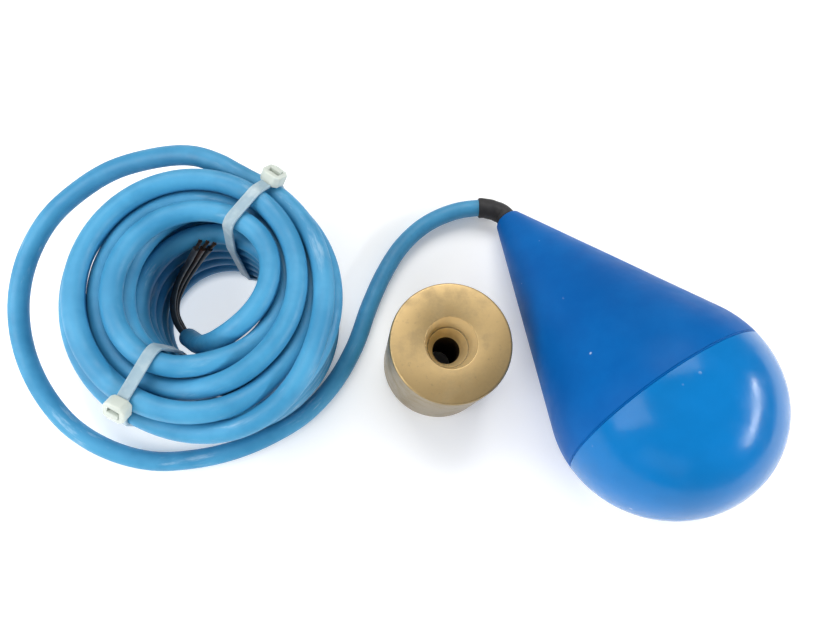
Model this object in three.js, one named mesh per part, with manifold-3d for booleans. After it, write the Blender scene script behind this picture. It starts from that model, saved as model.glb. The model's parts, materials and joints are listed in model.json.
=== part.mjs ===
// A cable float switch: a pear-shaped float, its coiled cable with two ties, and a loose counterweight.
// Millimetres, +Z up. Each named mesh is one closed solid. The float rests on its round end.
import * as THREE from "three";
import { mergeVertices } from "three/addons/utils/BufferGeometryUtils.js";
import Module from "manifold-3d";

const wasm = await Module();
wasm.setup();

// Clearances that many pieces share.
const fit = 0.3; // between two pieces that touch
const overrun = 1; // how far a cutter reaches past what it cuts

// The cable and its coil.
const cableRadius = 3.75;
const boreTurnRadius = 26.8; // centre line of the innermost column of turns
const turnPitch = 8.1; // from one turn to the next, both outward and upward
const cableHoldOff = 0.35; // tie to cable

// The float, measured from the centre of its sphere.
const floatRadius = 43;
const floatWall = 2.4;
const neckRadius = 6.4;
const neckReach = 107.5; // centre of the sphere to the face of the neck
const neckRimRound = 1.2;
const neckBoreLength = 14;
const spigotWall = 1.8;
const spigotHeight = 5;
const seamChamfer = 2;

// Where the float lies: its neck's face on the floor plan, and the way that the neck points.
const neckPlan = { x: 123.1, y: 52.6 };
const floatHeading = THREE.MathUtils.degToRad(119.2);
const neckLift = THREE.MathUtils.degToRad(1.8); // the stiff cable holds the neck just off the floor

// The counterweight.
const weightRadius = 23.8;
const weightHeight = 46;
const weightChamfer = 0.9;
const weightPlan = { x: 90.5, y: -14 };
const weightMouthRadius = 10.2;
const weightBoreRadius = 8.2;
const weightBoreDepth = 9.5;
const weightHoleRadius = 5.4;
const weightHoleDepth = 15.8;

// The switch capsule and the pieces that seal the cable into the neck.
const carrierThickness = 3;
const carrierScrewRadius = 1.4;
const capsuleRadius = 14;
const capsuleWall = 2;
const capsuleDrop = 22; // how far the capsule hangs below its flange
const flangeReach = 5;
const flangeThickness = 2.5;
const capsuleCapThickness = 3;
const grommetLength = 14;
const retainerLength = 4;

// The ball and the switch that it presses.
const ballRadius = 8;
const ballTravel = 14;
const trackClearOfLever = 2.2;
const leverThickness = 0.5;
const leverWidth = 3;
const leverTail = 0.9;
const leverNose = 6.5;
const leverPinRadius = 0.45;
const leverKnuckle = 0.5; // wall round the pin's hole
const caseSize = { x: 19.8, y: 5.1, z: 10.6 };
const caseWall = 1.4;
const coverThickness = 1;
const holderThickness = 2;
const plungerRadius = 1.2;
const plungerOffset = 2;
const plungerInside = 2.5;
const bladeThickness = 0.4;
const switchScrewRadius = 0.9;
const switchScrewPitch = 9.5;
const terminalSize = { x: 0.8, y: 2.6, z: 3.8 };
const terminalPitch = 7;
const coreRadius = 1.05;
const coreRun = 8; // from the terminals to the sheath's end

// Ties, boot and the cable's free end.
const strapWidth = 4.2;
const strapThickness = 1.2;
const tieHead = { along: 8, across: 8, thick: 4.6 };
const tieSlot = { along: 2.2, across: 4.8, deep: 1.4 };
const bootWall = 0.6;
const bootLength = 16;
const endCoreRadius = 1.15;
const strandRadius = 0.6;
const strandLength = 6;

// How finely round things are cut.
const floatSides = 48;
const smallSides = 24;
const rodSides = 12;
const leadSides = 12;
const coreSides = 8;

// Worked out from the sizes above.
const cableBore = cableRadius + fit;
const coilFloor = cableRadius + cableHoldOff + strapThickness;
const innerRadius = floatRadius - floatWall;
const coneAngle =
  Math.asin((floatRadius - neckRimRound) / Math.hypot(neckRadius - neckRimRound, neckReach - neckRimRound)) -
  Math.atan2(neckRadius - neckRimRound, neckReach - neckRimRound);
const droop = coneAngle - neckLift;
const neckHeight = floatRadius - neckReach * Math.sin(droop);

// The way that the neck points, and the centre of its face.
const neckWay = new THREE.Vector3(
  Math.cos(droop) * Math.cos(floatHeading),
  Math.cos(droop) * Math.sin(floatHeading),
  -Math.sin(droop),
);
const neckFace = new THREE.Vector3(neckPlan.x, neckPlan.y, neckHeight);

function finish(color, roughness, metalness) {
  return new THREE.MeshStandardMaterial({ color, roughness, metalness });
}

const finishes = {
  cable: finish(0x3b88c4, 0.55, 0),
  cone: finish(0x0d5fc0, 0.4, 0),
  dome: finish(0x1c84dc, 0.25, 0),
  rubber: finish(0x2b2b2e, 0.8, 0),
  brass: finish(0xc6a56c, 0.35, 0.9),
  nylon: finish(0xdfe5e0, 0.5, 0),
  white: finish(0xe8e6df, 0.5, 0),
  grey: finish(0x6f7276, 0.5, 0),
  black: finish(0x1d1d1f, 0.5, 0),
  brown: finish(0x6a3f24, 0.5, 0),
  steel: finish(0xb9bcc0, 0.25, 1),
  copper: finish(0xc98a5b, 0.35, 1),
};

// A named mesh of one finish.
function piece(name, geometry, material) {
  const mesh = new THREE.Mesh(geometry, material);
  mesh.name = name;
  return mesh;
}

// A closed outline of [radius, height] points, turned round Z and facing out.
function turned(outline, sides) {
  const points = outline.map(([r, z]) => new THREE.Vector2(r, z));
  points.push(points[0].clone());
  const area = THREE.ShapeUtils.area(points);
  if (area < 0) {
    points.reverse();
  }
  return new THREE.LatheGeometry(points, sides).rotateX(Math.PI / 2);
}

// A plain ring or disc between two heights.
function ring(inner, outer, low, high, sides) {
  return turned([[inner, low], [outer, low], [outer, high], [inner, high]], sides);
}

// A box by its centre.
function block(size, x, y, z) {
  return new THREE.BoxGeometry(size.x, size.y, size.z).translate(x, y, z);
}

// A cylinder whose axis runs along Y, by its centre.
function crossRod(radius, length, x, y, z) {
  return new THREE.CylinderGeometry(radius, radius, length, rodSides).translate(x, y, z);
}

// A cylinder whose axis runs along Z, between two heights.
function uprightRod(radius, low, high, x, y) {
  const rod = new THREE.CylinderGeometry(radius, radius, high - low, rodSides);
  return rod.rotateX(Math.PI / 2).translate(x, y, (low + high) / 2);
}

// A geometry as a solid that can be joined or cut.
function asSolid(geometry) {
  const bare = geometry.clone();
  bare.deleteAttribute("normal");
  bare.deleteAttribute("uv");
  const merged = mergeVertices(bare);
  const mesh = new wasm.Mesh({
    numProp: 3,
    vertProperties: merged.attributes.position.array,
    triVerts: new Uint32Array(merged.index.array),
  });
  return new wasm.Manifold(mesh);
}

// A solid as a geometry again.
function asGeometry(solid) {
  const mesh = solid.getMesh();
  const geometry = new THREE.BufferGeometry();
  geometry.setAttribute("position", new THREE.BufferAttribute(mesh.vertProperties, 3));
  geometry.setIndex(new THREE.BufferAttribute(mesh.triVerts, 1));
  geometry.computeVertexNormals();
  return geometry;
}

// The first geometry with some joined to it and others cut from it.
function carve(base, joined, cut) {
  let solid = asSolid(base);
  for (const geometry of joined) {
    solid = solid.add(asSolid(geometry));
  }
  for (const geometry of cut) {
    solid = solid.subtract(asSolid(geometry));
  }
  return asGeometry(solid);
}

// Points on a circle's arc, as [radius, height] pairs; angles count up from the radius.
function arc(radius, from, to, steps, centre = [0, 0]) {
  const points = [];
  for (let i = 0; i <= steps; i += 1) {
    const angle = from + ((to - from) * i) / steps;
    points.push([centre[0] + radius * Math.cos(angle), centre[1] + radius * Math.sin(angle)]);
  }
  return points;
}

// The radius of the float's inside at a height over the sphere's centre.
function insideRadius(height) {
  if (height < innerRadius * Math.sin(coneAngle)) {
    return Math.sqrt(innerRadius ** 2 - height ** 2);
  }
  return (innerRadius - height * Math.sin(coneAngle)) / Math.cos(coneAngle);
}

// The float's shells, its seal and the grommet in its neck, with Z along the float from its sphere's centre.
const seamHalf = fit / 2;
const spigotOuter = insideRadius(spigotHeight) - fit;
const spigotInner = spigotOuter - spigotWall;
const boreEnd = neckReach - neckBoreLength;

function coneShell() {
  const mouth = Math.asin(seamHalf / floatRadius);
  const chamferTop = seamHalf + seamChamfer;
  const rim = [neckRadius - neckRimRound, neckReach - neckRimRound];
  const outline = [
    ...arc(floatRadius, mouth, coneAngle, 4),
    ...arc(neckRimRound, coneAngle, Math.PI / 2, 3, rim),
    [cableBore, neckReach],
    [cableBore, boreEnd],
    [insideRadius(boreEnd), boreEnd],
    ...arc(innerRadius, coneAngle, Math.asin(chamferTop / innerRadius), 3),
    [insideRadius(seamHalf) + seamChamfer, seamHalf],
  ];
  return turned(outline, floatSides);
}

function domeShell() {
  const mouth = -Math.asin(seamHalf / floatRadius);
  const shoulder = -Math.acos(spigotInner / innerRadius);
  const outline = [
    ...arc(floatRadius, -Math.PI / 2, mouth, 12),
    [spigotOuter, -seamHalf],
    [spigotOuter, spigotHeight],
    [spigotInner, spigotHeight],
    ...arc(innerRadius, shoulder, -Math.PI / 2, 6),
  ];
  outline[0][0] = 0;
  outline[outline.length - 1][0] = 0;
  return turned(outline, floatSides);
}

// A round ring that sits in the corner of the seam, under the chamfer of the cone's mouth.
function seamSeal() {
  const play = fit / 2;
  const corner = insideRadius(seamHalf) + seamChamfer - spigotOuter - fit;
  const radius = (corner - play * (1 + Math.SQRT2)) / (2 + Math.SQRT2);
  const centre = [spigotOuter + play + radius, -seamHalf + play + radius];
  return turned(arc(radius, 0, 2 * Math.PI, 6, centre).slice(0, -1), floatSides);
}

function neckGrommet() {
  const top = boreEnd - fit;
  const low = top - grommetLength;
  return turned([[cableBore, low], [insideRadius(low) - fit, low], [insideRadius(top) - fit, top], [cableBore, top]], smallSides);
}

function grommetRetainer() {
  const top = boreEnd - grommetLength - 2 * fit;
  const low = top - retainerLength;
  return turned([[cableBore, low], [insideRadius(low) - fit, low], [insideRadius(top) - fit, top], [cableBore, top]], smallSides);
}

// The carrier across the float's mouth, and the switch capsule that is screwed to it.
const carrierLow = spigotHeight + fit;
const carrierTop = carrierLow + carrierThickness;
const flangeLow = carrierTop + fit;
const flangeTop = flangeLow + flangeThickness;
const flangeRadius = capsuleRadius + flangeReach;
const capsuleFloor = flangeLow - capsuleDrop;
const capsuleInside = capsuleRadius - capsuleWall;
const carrierScrewPlace = (capsuleRadius + flangeRadius) / 2;
const carrierScrewHead = (flangeReach - 2 * fit) / 2;

// Stations up the capsule, from its floor to its cap.
const ballRest = capsuleFloor + capsuleWall + fit + ballRadius + ballTravel;
const leverLow = ballRest + ballRadius + fit;
const trackTop = leverLow - trackClearOfLever;
const pinHole = leverPinRadius + fit;
const knuckleRadius = pinHole + leverKnuckle;
const pinHeight = leverLow + knuckleRadius;
const caseLow = pinHeight + knuckleRadius + fit;
const caseTop = caseLow + caseSize.z;
const terminalLow = caseTop + fit;
const terminalTop = terminalLow + terminalSize.z;
const coreLow = terminalTop + fit;
const tailLow = coreLow + coreRun + fit;
const capsuleTop = tailLow + fit + retainerLength;

function screwRound(index) {
  const angle = (2 * Math.PI * index) / 3 + Math.PI / 6;
  return [carrierScrewPlace * Math.cos(angle), carrierScrewPlace * Math.sin(angle)];
}

function holesForScrews(low, high) {
  return [0, 1, 2].map((i) => uprightRod(carrierScrewRadius + fit, low - overrun, high + overrun, ...screwRound(i)));
}

function switchCarrier() {
  const plate = ring(capsuleRadius + fit, insideRadius(carrierTop) - fit, carrierLow, carrierTop, floatSides);
  const windowRadius = (insideRadius(carrierTop) - flangeRadius) / 4;
  const windowPlace = (insideRadius(carrierTop) + flangeRadius) / 2;
  const windows = [];
  for (let i = 0; i < 6; i += 1) {
    const angle = (Math.PI * i) / 3;
    const place = [windowPlace * Math.cos(angle), windowPlace * Math.sin(angle)];
    windows.push(uprightRod(windowRadius, carrierLow - overrun, carrierTop + overrun, ...place));
  }
  return carve(plate, [], [...holesForScrews(carrierLow, carrierTop), ...windows]);
}

function capsuleBody() {
  const outline = [
    [0, capsuleFloor],
    [capsuleRadius, capsuleFloor],
    [capsuleRadius, flangeLow],
    [flangeRadius, flangeLow],
    [flangeRadius, flangeTop],
    [capsuleRadius, flangeTop],
    [capsuleRadius, capsuleTop],
    [capsuleInside, capsuleTop],
    [capsuleInside, capsuleFloor + capsuleWall],
    [0, capsuleFloor + capsuleWall],
  ];
  return carve(turned(outline, smallSides), [], holesForScrews(flangeLow, flangeTop));
}

function carrierScrew(index) {
  const low = carrierLow + fit;
  const seat = flangeTop + fit;
  const shank = [[0, low], [carrierScrewRadius, low], [carrierScrewRadius, seat]];
  const top = seat + carrierScrewHead;
  const head = [[carrierScrewHead, seat], [carrierScrewHead, top], [0, top]];
  const [x, y] = screwRound(index);
  return turned([...shank, ...head], rodSides).translate(x, y, 0);
}

function capsuleSeal() {
  const low = capsuleTop + fit;
  return ring(capsuleInside + fit, capsuleRadius - fit, low, low + capsuleWall / 2, smallSides);
}

function capsuleCap() {
  const low = capsuleTop + capsuleWall / 2 + 2 * fit;
  const top = low + capsuleCapThickness;
  const plug = capsuleTop - capsuleWall;
  const stem = capsuleInside - fit;
  return turned([[cableBore, plug], [stem, plug], [stem, low], [capsuleRadius, low], [capsuleRadius, top], [cableBore, top]], smallSides);
}

function ballTrack() {
  return ring(ballRadius + fit, capsuleInside - fit, capsuleFloor + capsuleWall + fit, trackTop, smallSides);
}

// The switch: its case, cover, holder and the pieces that move in it.
const pinPlace = -(caseSize.x / 2 - knuckleRadius);
const caseMiddle = caseLow + caseSize.z / 2;
const coverLow = caseSize.y / 2 + fit;
const holderHigh = -caseSize.y / 2 - fit;
const plungerLow = leverLow + leverThickness + fit;
const plungerTop = caseLow + plungerInside;
const screwHeight = caseTop - 2 * caseWall;

// The two screws' places along the case, and the holes that they pass through.
const switchScrewPlaces = [-switchScrewPitch / 2, switchScrewPitch / 2];

function switchScrewHoles() {
  const through = 2 * (caseSize.y + coverThickness + holderThickness);
  return switchScrewPlaces.map((x) => crossRod(switchScrewRadius + fit, through, x, 0, screwHeight));
}

function switchCase() {
  const pocket = { x: caseSize.x - 2 * caseWall, y: caseSize.y, z: caseSize.z - 2 * caseWall };
  const ear = { x: 2 * knuckleRadius, y: (caseSize.y - leverWidth) / 2 - fit, z: caseLow - pinHeight + knuckleRadius + overrun };
  const earPlace = (caseSize.y - ear.y) / 2;
  const earMiddle = pinHeight - knuckleRadius + ear.z / 2;
  const ears = [-earPlace, earPlace].map((y) => block(ear, pinPlace, y, earMiddle));
  const cuts = [
    block(pocket, 0, caseWall, caseMiddle),
    uprightRod(plungerRadius + fit, caseLow - overrun, caseMiddle, plungerOffset, 0),
    crossRod(pinHole, 2 * caseSize.y, pinPlace, 0, pinHeight),
    ...switchScrewHoles(),
  ];
  return carve(block(caseSize, 0, 0, caseMiddle), ears, cuts);
}

function switchCover() {
  const size = { x: caseSize.x, y: coverThickness, z: caseSize.z };
  return carve(block(size, 0, coverLow + coverThickness / 2, caseMiddle), [], switchScrewHoles());
}

// A plate behind the case, whose two legs stand on the end of the ball's track.
function switchHolder() {
  const low = trackTop + fit;
  const half = caseSize.x / 2;
  const outline = new THREE.Shape();
  outline.moveTo(-half, low);
  outline.lineTo(-ballRadius, low);
  outline.lineTo(-ballRadius, pinHeight);
  outline.lineTo(ballRadius, pinHeight);
  outline.lineTo(ballRadius, low);
  outline.lineTo(half, low);
  outline.lineTo(half, caseTop);
  outline.lineTo(-half, caseTop);
  const plate = new THREE.ExtrudeGeometry(outline, { depth: holderThickness, bevelEnabled: false });
  plate.rotateX(Math.PI / 2).translate(0, holderHigh, 0);
  return carve(plate, [], switchScrewHoles());
}

function switchScrew(index) {
  const headHeight = coverThickness;
  const seat = coverLow + coverThickness + fit;
  const end = holderHigh - holderThickness;
  const head = [[2 * switchScrewRadius, seat], [2 * switchScrewRadius, seat + headHeight], [0, seat + headHeight]];
  const outline = [[0, end], [switchScrewRadius, end], [switchScrewRadius, seat], ...head];
  return turned(outline, rodSides).rotateX(-Math.PI / 2).translate(switchScrewPlaces[index], 0, screwHeight);
}

function switchPlunger() {
  return uprightRod(plungerRadius, plungerLow, plungerTop, plungerOffset, 0);
}

function switchLever() {
  const start = pinPlace - knuckleRadius - leverTail;
  const strip = { x: leverNose - start, y: leverWidth, z: leverThickness };
  const plate = block(strip, (start + leverNose) / 2, 0, leverLow + leverThickness / 2);
  const knuckle = crossRod(knuckleRadius, leverWidth, pinPlace, 0, pinHeight);
  return carve(plate, [knuckle], [crossRod(pinHole, 2 * leverWidth, pinPlace, 0, pinHeight)]);
}

function leverPin() {
  return crossRod(leverPinRadius, caseSize.y, pinPlace, 0, pinHeight);
}

function contactBlade() {
  const reach = caseSize.x - 2 * caseWall - 2 * fit;
  const strip = { x: reach, y: caseSize.y - 2 * (caseWall + fit), z: bladeThickness };
  return block(strip, 0, 0, plungerTop + fit + bladeThickness / 2);
}

function terminal(index) {
  return block(terminalSize, terminalPitch * (index - 1), 0, (terminalLow + terminalTop) / 2);
}

// A round tube of a few sides along a curve.
function cordTube(curve, radius, steps, sides) {
  const section = new THREE.Shape();
  section.absarc(0, 0, radius, 0, 2 * Math.PI);
  const options = { steps, curveSegments: sides / 2, bevelEnabled: false, extrudePath: curve };
  return new THREE.ExtrudeGeometry(section, options);
}

function innerCore(index) {
  const side = index - 1;
  const foot = new THREE.Vector3(terminalPitch * side, 0, coreLow);
  const head = new THREE.Vector3((2 * coreRadius + fit) * side, 0, coreLow + coreRun);
  const kneeShare = 0.22;
  const knees = [kneeShare, 1 - kneeShare].map((share) => coreLow + coreRun * share);
  const bends = [new THREE.Vector3(foot.x, 0, knees[0]), new THREE.Vector3(head.x, 0, knees[1])];
  const curve = new THREE.CatmullRomCurve3([foot, ...bends, head], false, "centripetal");
  return side === 0 ? uprightRod(coreRadius, coreLow, head.z, 0, 0) : cordTube(curve, coreRadius, 8, coreSides);
}

function cableTail() {
  return ring(0, cableRadius, tailLow, neckReach - fit, leadSides);
}

// The float and all that it holds, in one group that lies on the floor.
function floatGroup() {
  const group = new THREE.Group();
  group.add(piece("cone_shell", coneShell(), finishes.cone));
  group.add(piece("dome_shell", domeShell(), finishes.dome));
  group.add(piece("seam_seal", seamSeal(), finishes.rubber));
  group.add(piece("neck_grommet", neckGrommet(), finishes.rubber));
  group.add(piece("grommet_retainer", grommetRetainer(), finishes.white));
  group.add(piece("cable_tail", cableTail(), finishes.cable));
  group.add(piece("switch_carrier", switchCarrier(), finishes.white));
  group.add(piece("capsule_body", capsuleBody(), finishes.white));
  group.add(piece("capsule_seal", capsuleSeal(), finishes.rubber));
  group.add(piece("capsule_cap", capsuleCap(), finishes.white));
  group.add(piece("ball_track", ballTrack(), finishes.nylon));
  group.add(piece("steel_ball", new THREE.SphereGeometry(ballRadius, smallSides, smallSides / 2).translate(0, 0, ballRest), finishes.steel));
  group.add(piece("switch_holder", switchHolder(), finishes.grey));
  group.add(piece("switch_case", switchCase(), finishes.black));
  group.add(piece("switch_cover", switchCover(), finishes.black));
  group.add(piece("switch_plunger", switchPlunger(), finishes.white));
  group.add(piece("switch_lever", switchLever(), finishes.steel));
  group.add(piece("lever_pin", leverPin(), finishes.steel));
  group.add(piece("contact_blade", contactBlade(), finishes.copper));
  for (let i = 0; i < 3; i += 1) {
    group.add(piece(`carrier_screw_${i + 1}`, carrierScrew(i), finishes.steel));
    group.add(piece(`terminal_${i + 1}`, terminal(i), finishes.copper));
    group.add(piece(`inner_core_${coreNames[i]}`, innerCore(i), finishes[coreNames[i]]));
  }
  for (let i = 0; i < 2; i += 1) {
    group.add(piece(`switch_screw_${i + 1}`, switchScrew(i), finishes.steel));
  }
  group.rotation.set(0, Math.PI / 2 + droop, floatHeading, "ZYX");
  group.position.copy(neckFace).addScaledVector(neckWay, -neckReach);
  return group;
}

const coreNames = ["black", "brown", "grey"];

// The counterweight stands by itself, its stepped bore upright.
function counterweight() {
  const top = weightHeight;
  const edge = weightRadius - weightChamfer;
  const outline = [
    [weightHoleRadius + weightChamfer, 0],
    [edge, 0],
    [weightRadius, weightChamfer],
    [weightRadius, top - weightChamfer],
    [edge, top],
    [weightMouthRadius, top],
    [weightBoreRadius, top - weightBoreDepth],
    [weightHoleRadius, top - weightHoleDepth],
    [weightHoleRadius, weightChamfer],
  ];
  return turned(outline, floatSides).translate(weightPlan.x, weightPlan.y, 0);
}

// The coil's lay as [turn, column, layer] counts: the free end climbs inside, the top turns wind out and dive,
// the inner column winds down, and the outer column winds up again to the upper tie.
const coilLayShares = [
  [-0.55, -1.44, 2.3], [-0.5, -1.5, 2.9], [-0.44, -1.42, 4.4], [-0.38, -1.27, 5.7], [-0.33, -1.24, 6.43],
  [-0.28, -1.1, 6.84], [-0.22, -0.89, 7.06], [-0.167, -0.56, 7.08], [-0.125, -0.32, 7.09],
  [-0.083, -0.03, 7.06], [-0.042, 0.13, 7.02], [0, 0.24, 7.02], [0.083, 0.34, 7.01], [0.167, 0.43, 7],
  [0.25, 0.46, 7], [0.417, 0.45, 7], [0.5, 0.38, 7], [0.542, 0.23, 7.02], [0.583, 0, 7.03],
  [0.625, -0.27, 6.73], [0.667, -0.18, 6.46], [0.708, -0.1, 6.42], [0.75, -0.12, 6.41], [0.792, -0.06, 6.38],
  [0.833, 0.09, 6.31], [0.875, 0.3, 6.26], [0.917, 0.46, 6.14], [0.958, 0.62, 6.15], [1, 0.8, 6.2],
  [1.042, 0.99, 6.28], [1.083, 1.09, 6.35], [1.167, 1.26, 6.44], [1.25, 1.26, 6.42], [1.333, 1.22, 6.36],
  [1.417, 1.19, 6.33], [1.5, 1.18, 6.36], [1.542, 1.08, 6.38], [1.583, 0.96, 6.49], [1.625, 0.9, 6.82],
  [1.667, 0.76, 7.05], [1.708, 0.63, 7.04], [1.75, 0.65, 7.04], [1.792, 0.68, 7.08], [1.833, 0.74, 7.08],
  [1.875, 0.87, 7.05], [1.917, 0.98, 7], [1.958, 1.19, 7], [2, 1.44, 7.02], [2.042, 1.68, 7.02],
  [2.083, 1.85, 7.01], [2.125, 2, 7], [2.167, 2.08, 7.01], [2.25, 2.07, 7.01], [2.333, 1.99, 7],
  [2.417, 1.95, 7], [2.5, 1.98, 7], [2.542, 2.02, 7.01], [2.583, 2.02, 6.99], [2.625, 1.98, 6.71],
  [2.667, 1.71, 6.48], [2.708, 1.47, 6.42], [2.75, 1.39, 6.36], [2.792, 1.31, 6.28], [2.833, 1.28, 6.19],
  [2.875, 1.35, 6.13], [2.917, 1.52, 6.02], [2.958, 1.56, 5.6], [3, 1.51, 5.4], [3.083, 1.31, 5.34],
  [3.167, 0.99, 5.42], [3.25, 0.55, 5.69], [3.333, 0.26, 5.91], [3.417, 0.2, 5.95], [3.5, 0.15, 5.9],
  [3.583, 0.1, 5.75], [3.667, 0.06, 5.5], [3.75, 0, 5.42], [3.833, -0.01, 5.32], [4, 0, 5.19], [4.083, 0, 5.09],
  [4.167, -0.05, 5.03], [4.25, -0.04, 4.85], [4.333, 0, 4.88], [4.417, 0, 4.77], [8.7, 0, 0.3],
  [8.9, 0.12, 0.1], [9, 0.26, 0], [9.1, 0.43, 0], [9.2, 0.62, 0], [9.3, 0.78, 0], [9.4, 0.86, 0], [9.6, 1, 0],
  [9.9, 1.2, 0], [10, 1.36, 0], [10.1, 1.52, 0], [10.2, 1.69, 0], [10.3, 1.84, 0.1], [10.4, 1.94, 0.2],
  [10.5, 2, 0.3], [14, 2, 3.9], [14.5, 2.05, 4.45], [14.75, 2.15, 4.8], [14.917, 2.35, 5.1], [15, 2.47, 5.24],
  [15.042, 2.48, 5.25], [15.083, 2.48, 5.39], [15.125, 2.5, 5.7], [15.167, 2.5, 5.95], [15.25, 2.5, 6.08],
  [15.417, 2.42, 6.1], [15.5, 2.46, 6.1], [15.583, 2.68, 6.07], [15.625, 2.96, 6.15], [15.667, 2.87, 6.61],
  [15.708, 2.53, 6.97], [15.75, 2.18, 7.01], [15.792, 1.98, 7], [15.833, 1.91, 7.01], [15.875, 1.91, 6.98],
  [15.917, 1.98, 6.81], [15.938, 2.04, 6.64], [15.958, 2.11, 6.48], [16, 2.25, 6.42], [16.042, 2.46, 6.39],
];
const stepsPerTurn = 24;
const freeEndSteps = 8;
const coilSides = 6;
const firstTurnAngle = Math.PI / 3;

// The value of one column of the lay at a turn, straight between its rows.
function layAt(turn, column) {
  const last = coilLayShares.length - 1;
  let row = 1;
  while (row < last && coilLayShares[row][0] < turn) {
    row += 1;
  }
  const [before, after] = [coilLayShares[row - 1], coilLayShares[row]];
  const along = (turn - before[0]) / (after[0] - before[0]);
  return before[column] + (after[column] - before[column]) * along;
}

// A list of numbers with each one drawn towards its neighbours, its ends kept.
function smoothed(values) {
  return values.map((value, i) => {
    const atEnd = i === 0 || i === values.length - 1;
    return atEnd ? value : (values[i - 1] + 2 * value + values[i + 1]) / 4;
  });
}

// The coil's centre line, with a straight run of one diameter at each end.
function coilPath() {
  const first = Math.ceil(coilLayShares[0][0] * stepsPerTurn);
  const last = Math.floor(coilLayShares[coilLayShares.length - 1][0] * stepsPerTurn);
  const turns = [];
  for (let step = first; step <= last; step += 1) {
    turns.push(step / stepsPerTurn);
  }
  const columns = smoothed(smoothed(turns.map((turn) => layAt(turn, 1))));
  const layers = smoothed(smoothed(turns.map((turn) => layAt(turn, 2))));
  const points = turns.map((turn, i) => {
    const angle = firstTurnAngle + 2 * Math.PI * turn;
    const radius = boreTurnRadius + turnPitch * columns[i];
    return new THREE.Vector3(radius * Math.cos(angle), radius * Math.sin(angle), coilFloor + turnPitch * layers[i]);
  });
  points.unshift(straightOn(points[1], points[0]));
  points.push(straightOn(points[points.length - 2], points[points.length - 1]));
  return points;
}

// A point one cable diameter past the second of two points.
function straightOn(before, end) {
  const way = end.clone().sub(before).normalize();
  return end.clone().addScaledVector(way, 2 * cableRadius);
}

// The least gap between turns of a path that aren't neighbours along it.
function leastGap(points, radius) {
  const span = new THREE.Line3();
  const nearest = new THREE.Vector3();
  let least = Infinity;
  for (let i = 0; i < points.length; i += 1) {
    for (let j = i + stepsPerTurn / 2; j + 1 < points.length; j += 1) {
      span.set(points[j], points[j + 1]).closestPointToPoint(points[i], true, nearest);
      least = Math.min(least, nearest.distanceTo(points[i]) - 2 * radius);
    }
  }
  return least;
}

// One unbroken tube along points, its rings carried on without twist and its ends closed.
function woundTube(points, radius, sides) {
  const positions = [];
  const indices = [];
  let across = new THREE.Vector3(0, 0, 1);
  points.forEach((point, i) => {
    const before = points[Math.max(i - 1, 0)];
    const after = points[Math.min(i + 1, points.length - 1)];
    const way = after.clone().sub(before).normalize();
    across = across.clone().addScaledVector(way, -across.dot(way)).normalize();
    const over = way.clone().cross(across);
    for (let k = 0; k < sides; k += 1) {
      const angle = (2 * Math.PI * k) / sides;
      const spot = point.clone().addScaledVector(across, radius * Math.cos(angle)).addScaledVector(over, radius * Math.sin(angle));
      positions.push(spot.x, spot.y, spot.z);
    }
  });
  for (let i = 0; i + 1 < points.length; i += 1) {
    for (let k = 0; k < sides; k += 1) {
      const [a, b] = [i * sides + k, i * sides + ((k + 1) % sides)];
      indices.push(a, b, b + sides, a, b + sides, a + sides);
    }
  }
  const end = (points.length - 1) * sides;
  for (let k = 1; k + 1 < sides; k += 1) {
    indices.push(0, k + 1, k, end, end + k, end + k + 1);
  }
  const geometry = new THREE.BufferGeometry();
  geometry.setAttribute("position", new THREE.Float32BufferAttribute(positions, 3));
  geometry.setIndex(indices);
  geometry.computeVertexNormals();
  return geometry;
}

const coilPoints = coilPath();
console.log(`least gap of the coil to itself: ${leastGap(coilPoints, cableRadius).toFixed(2)} mm`);

// The lead's route from the upper tie round the coil and to the float, chosen by hand on the floor plan.
const leadRoute = [
  [-7.6, 54.5, 55.4],
  [-18.7, 55.7, 52.6],
  [-39.8, 52.3, 47],
  [-54.7, 45.2, 41.5],
  [-67.5, 34.5, 36],
  [-75.7, 19.3, 31],
  [-78.7, 2.2, 26],
  [-76.5, -15.1, 20.5],
  [-69.5, -30.8, 15.5],
  [-58.3, -44.2, 11],
  [-43.4, -53, 7.5],
  [-27.2, -57, 5],
  [-10.9, -56.1, 4.2],
  [4.4, -52.6, 4],
  [19.4, -46.2, 4],
  [33.2, -37.3, 4],
  [45.1, -23.8, 4],
  [53.6, -7.8, 4],
  [60, 11.5, 4],
  [66.6, 27.3, 4],
  [74.3, 40.1, 4.2],
  [84.9, 50.4, 5],
  [96.6, 56.4, 6],
  [106, 58.6, 6.8],
  [113.4, 58.8, 7.3],
];

// A curve whose steps bunch up over its last stretch, where the boot bends it.
class LeadCurve extends THREE.CatmullRomCurve3 {
  constructor(points, tailLength, tailStepShare) {
    super(points, false, "centripetal");
    this.arcLengthDivisions = 2000;
    this.tailShare = tailLength / this.getLength();
    this.tailStepShare = tailStepShare;
  }

  paced(u) {
    const bodyStepShare = 1 - this.tailStepShare;
    if (u < bodyStepShare) {
      return (u / bodyStepShare) * (1 - this.tailShare);
    }
    return 1 - ((1 - u) / this.tailStepShare) * this.tailShare;
  }

  getPointAt(u, target) {
    return super.getPointAt(this.paced(u), target);
  }

  getTangentAt(u, target) {
    return super.getTangentAt(this.paced(u), target);
  }
}

const leadSteps = 40;
const bootStepShare = 1 / 8;

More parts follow.
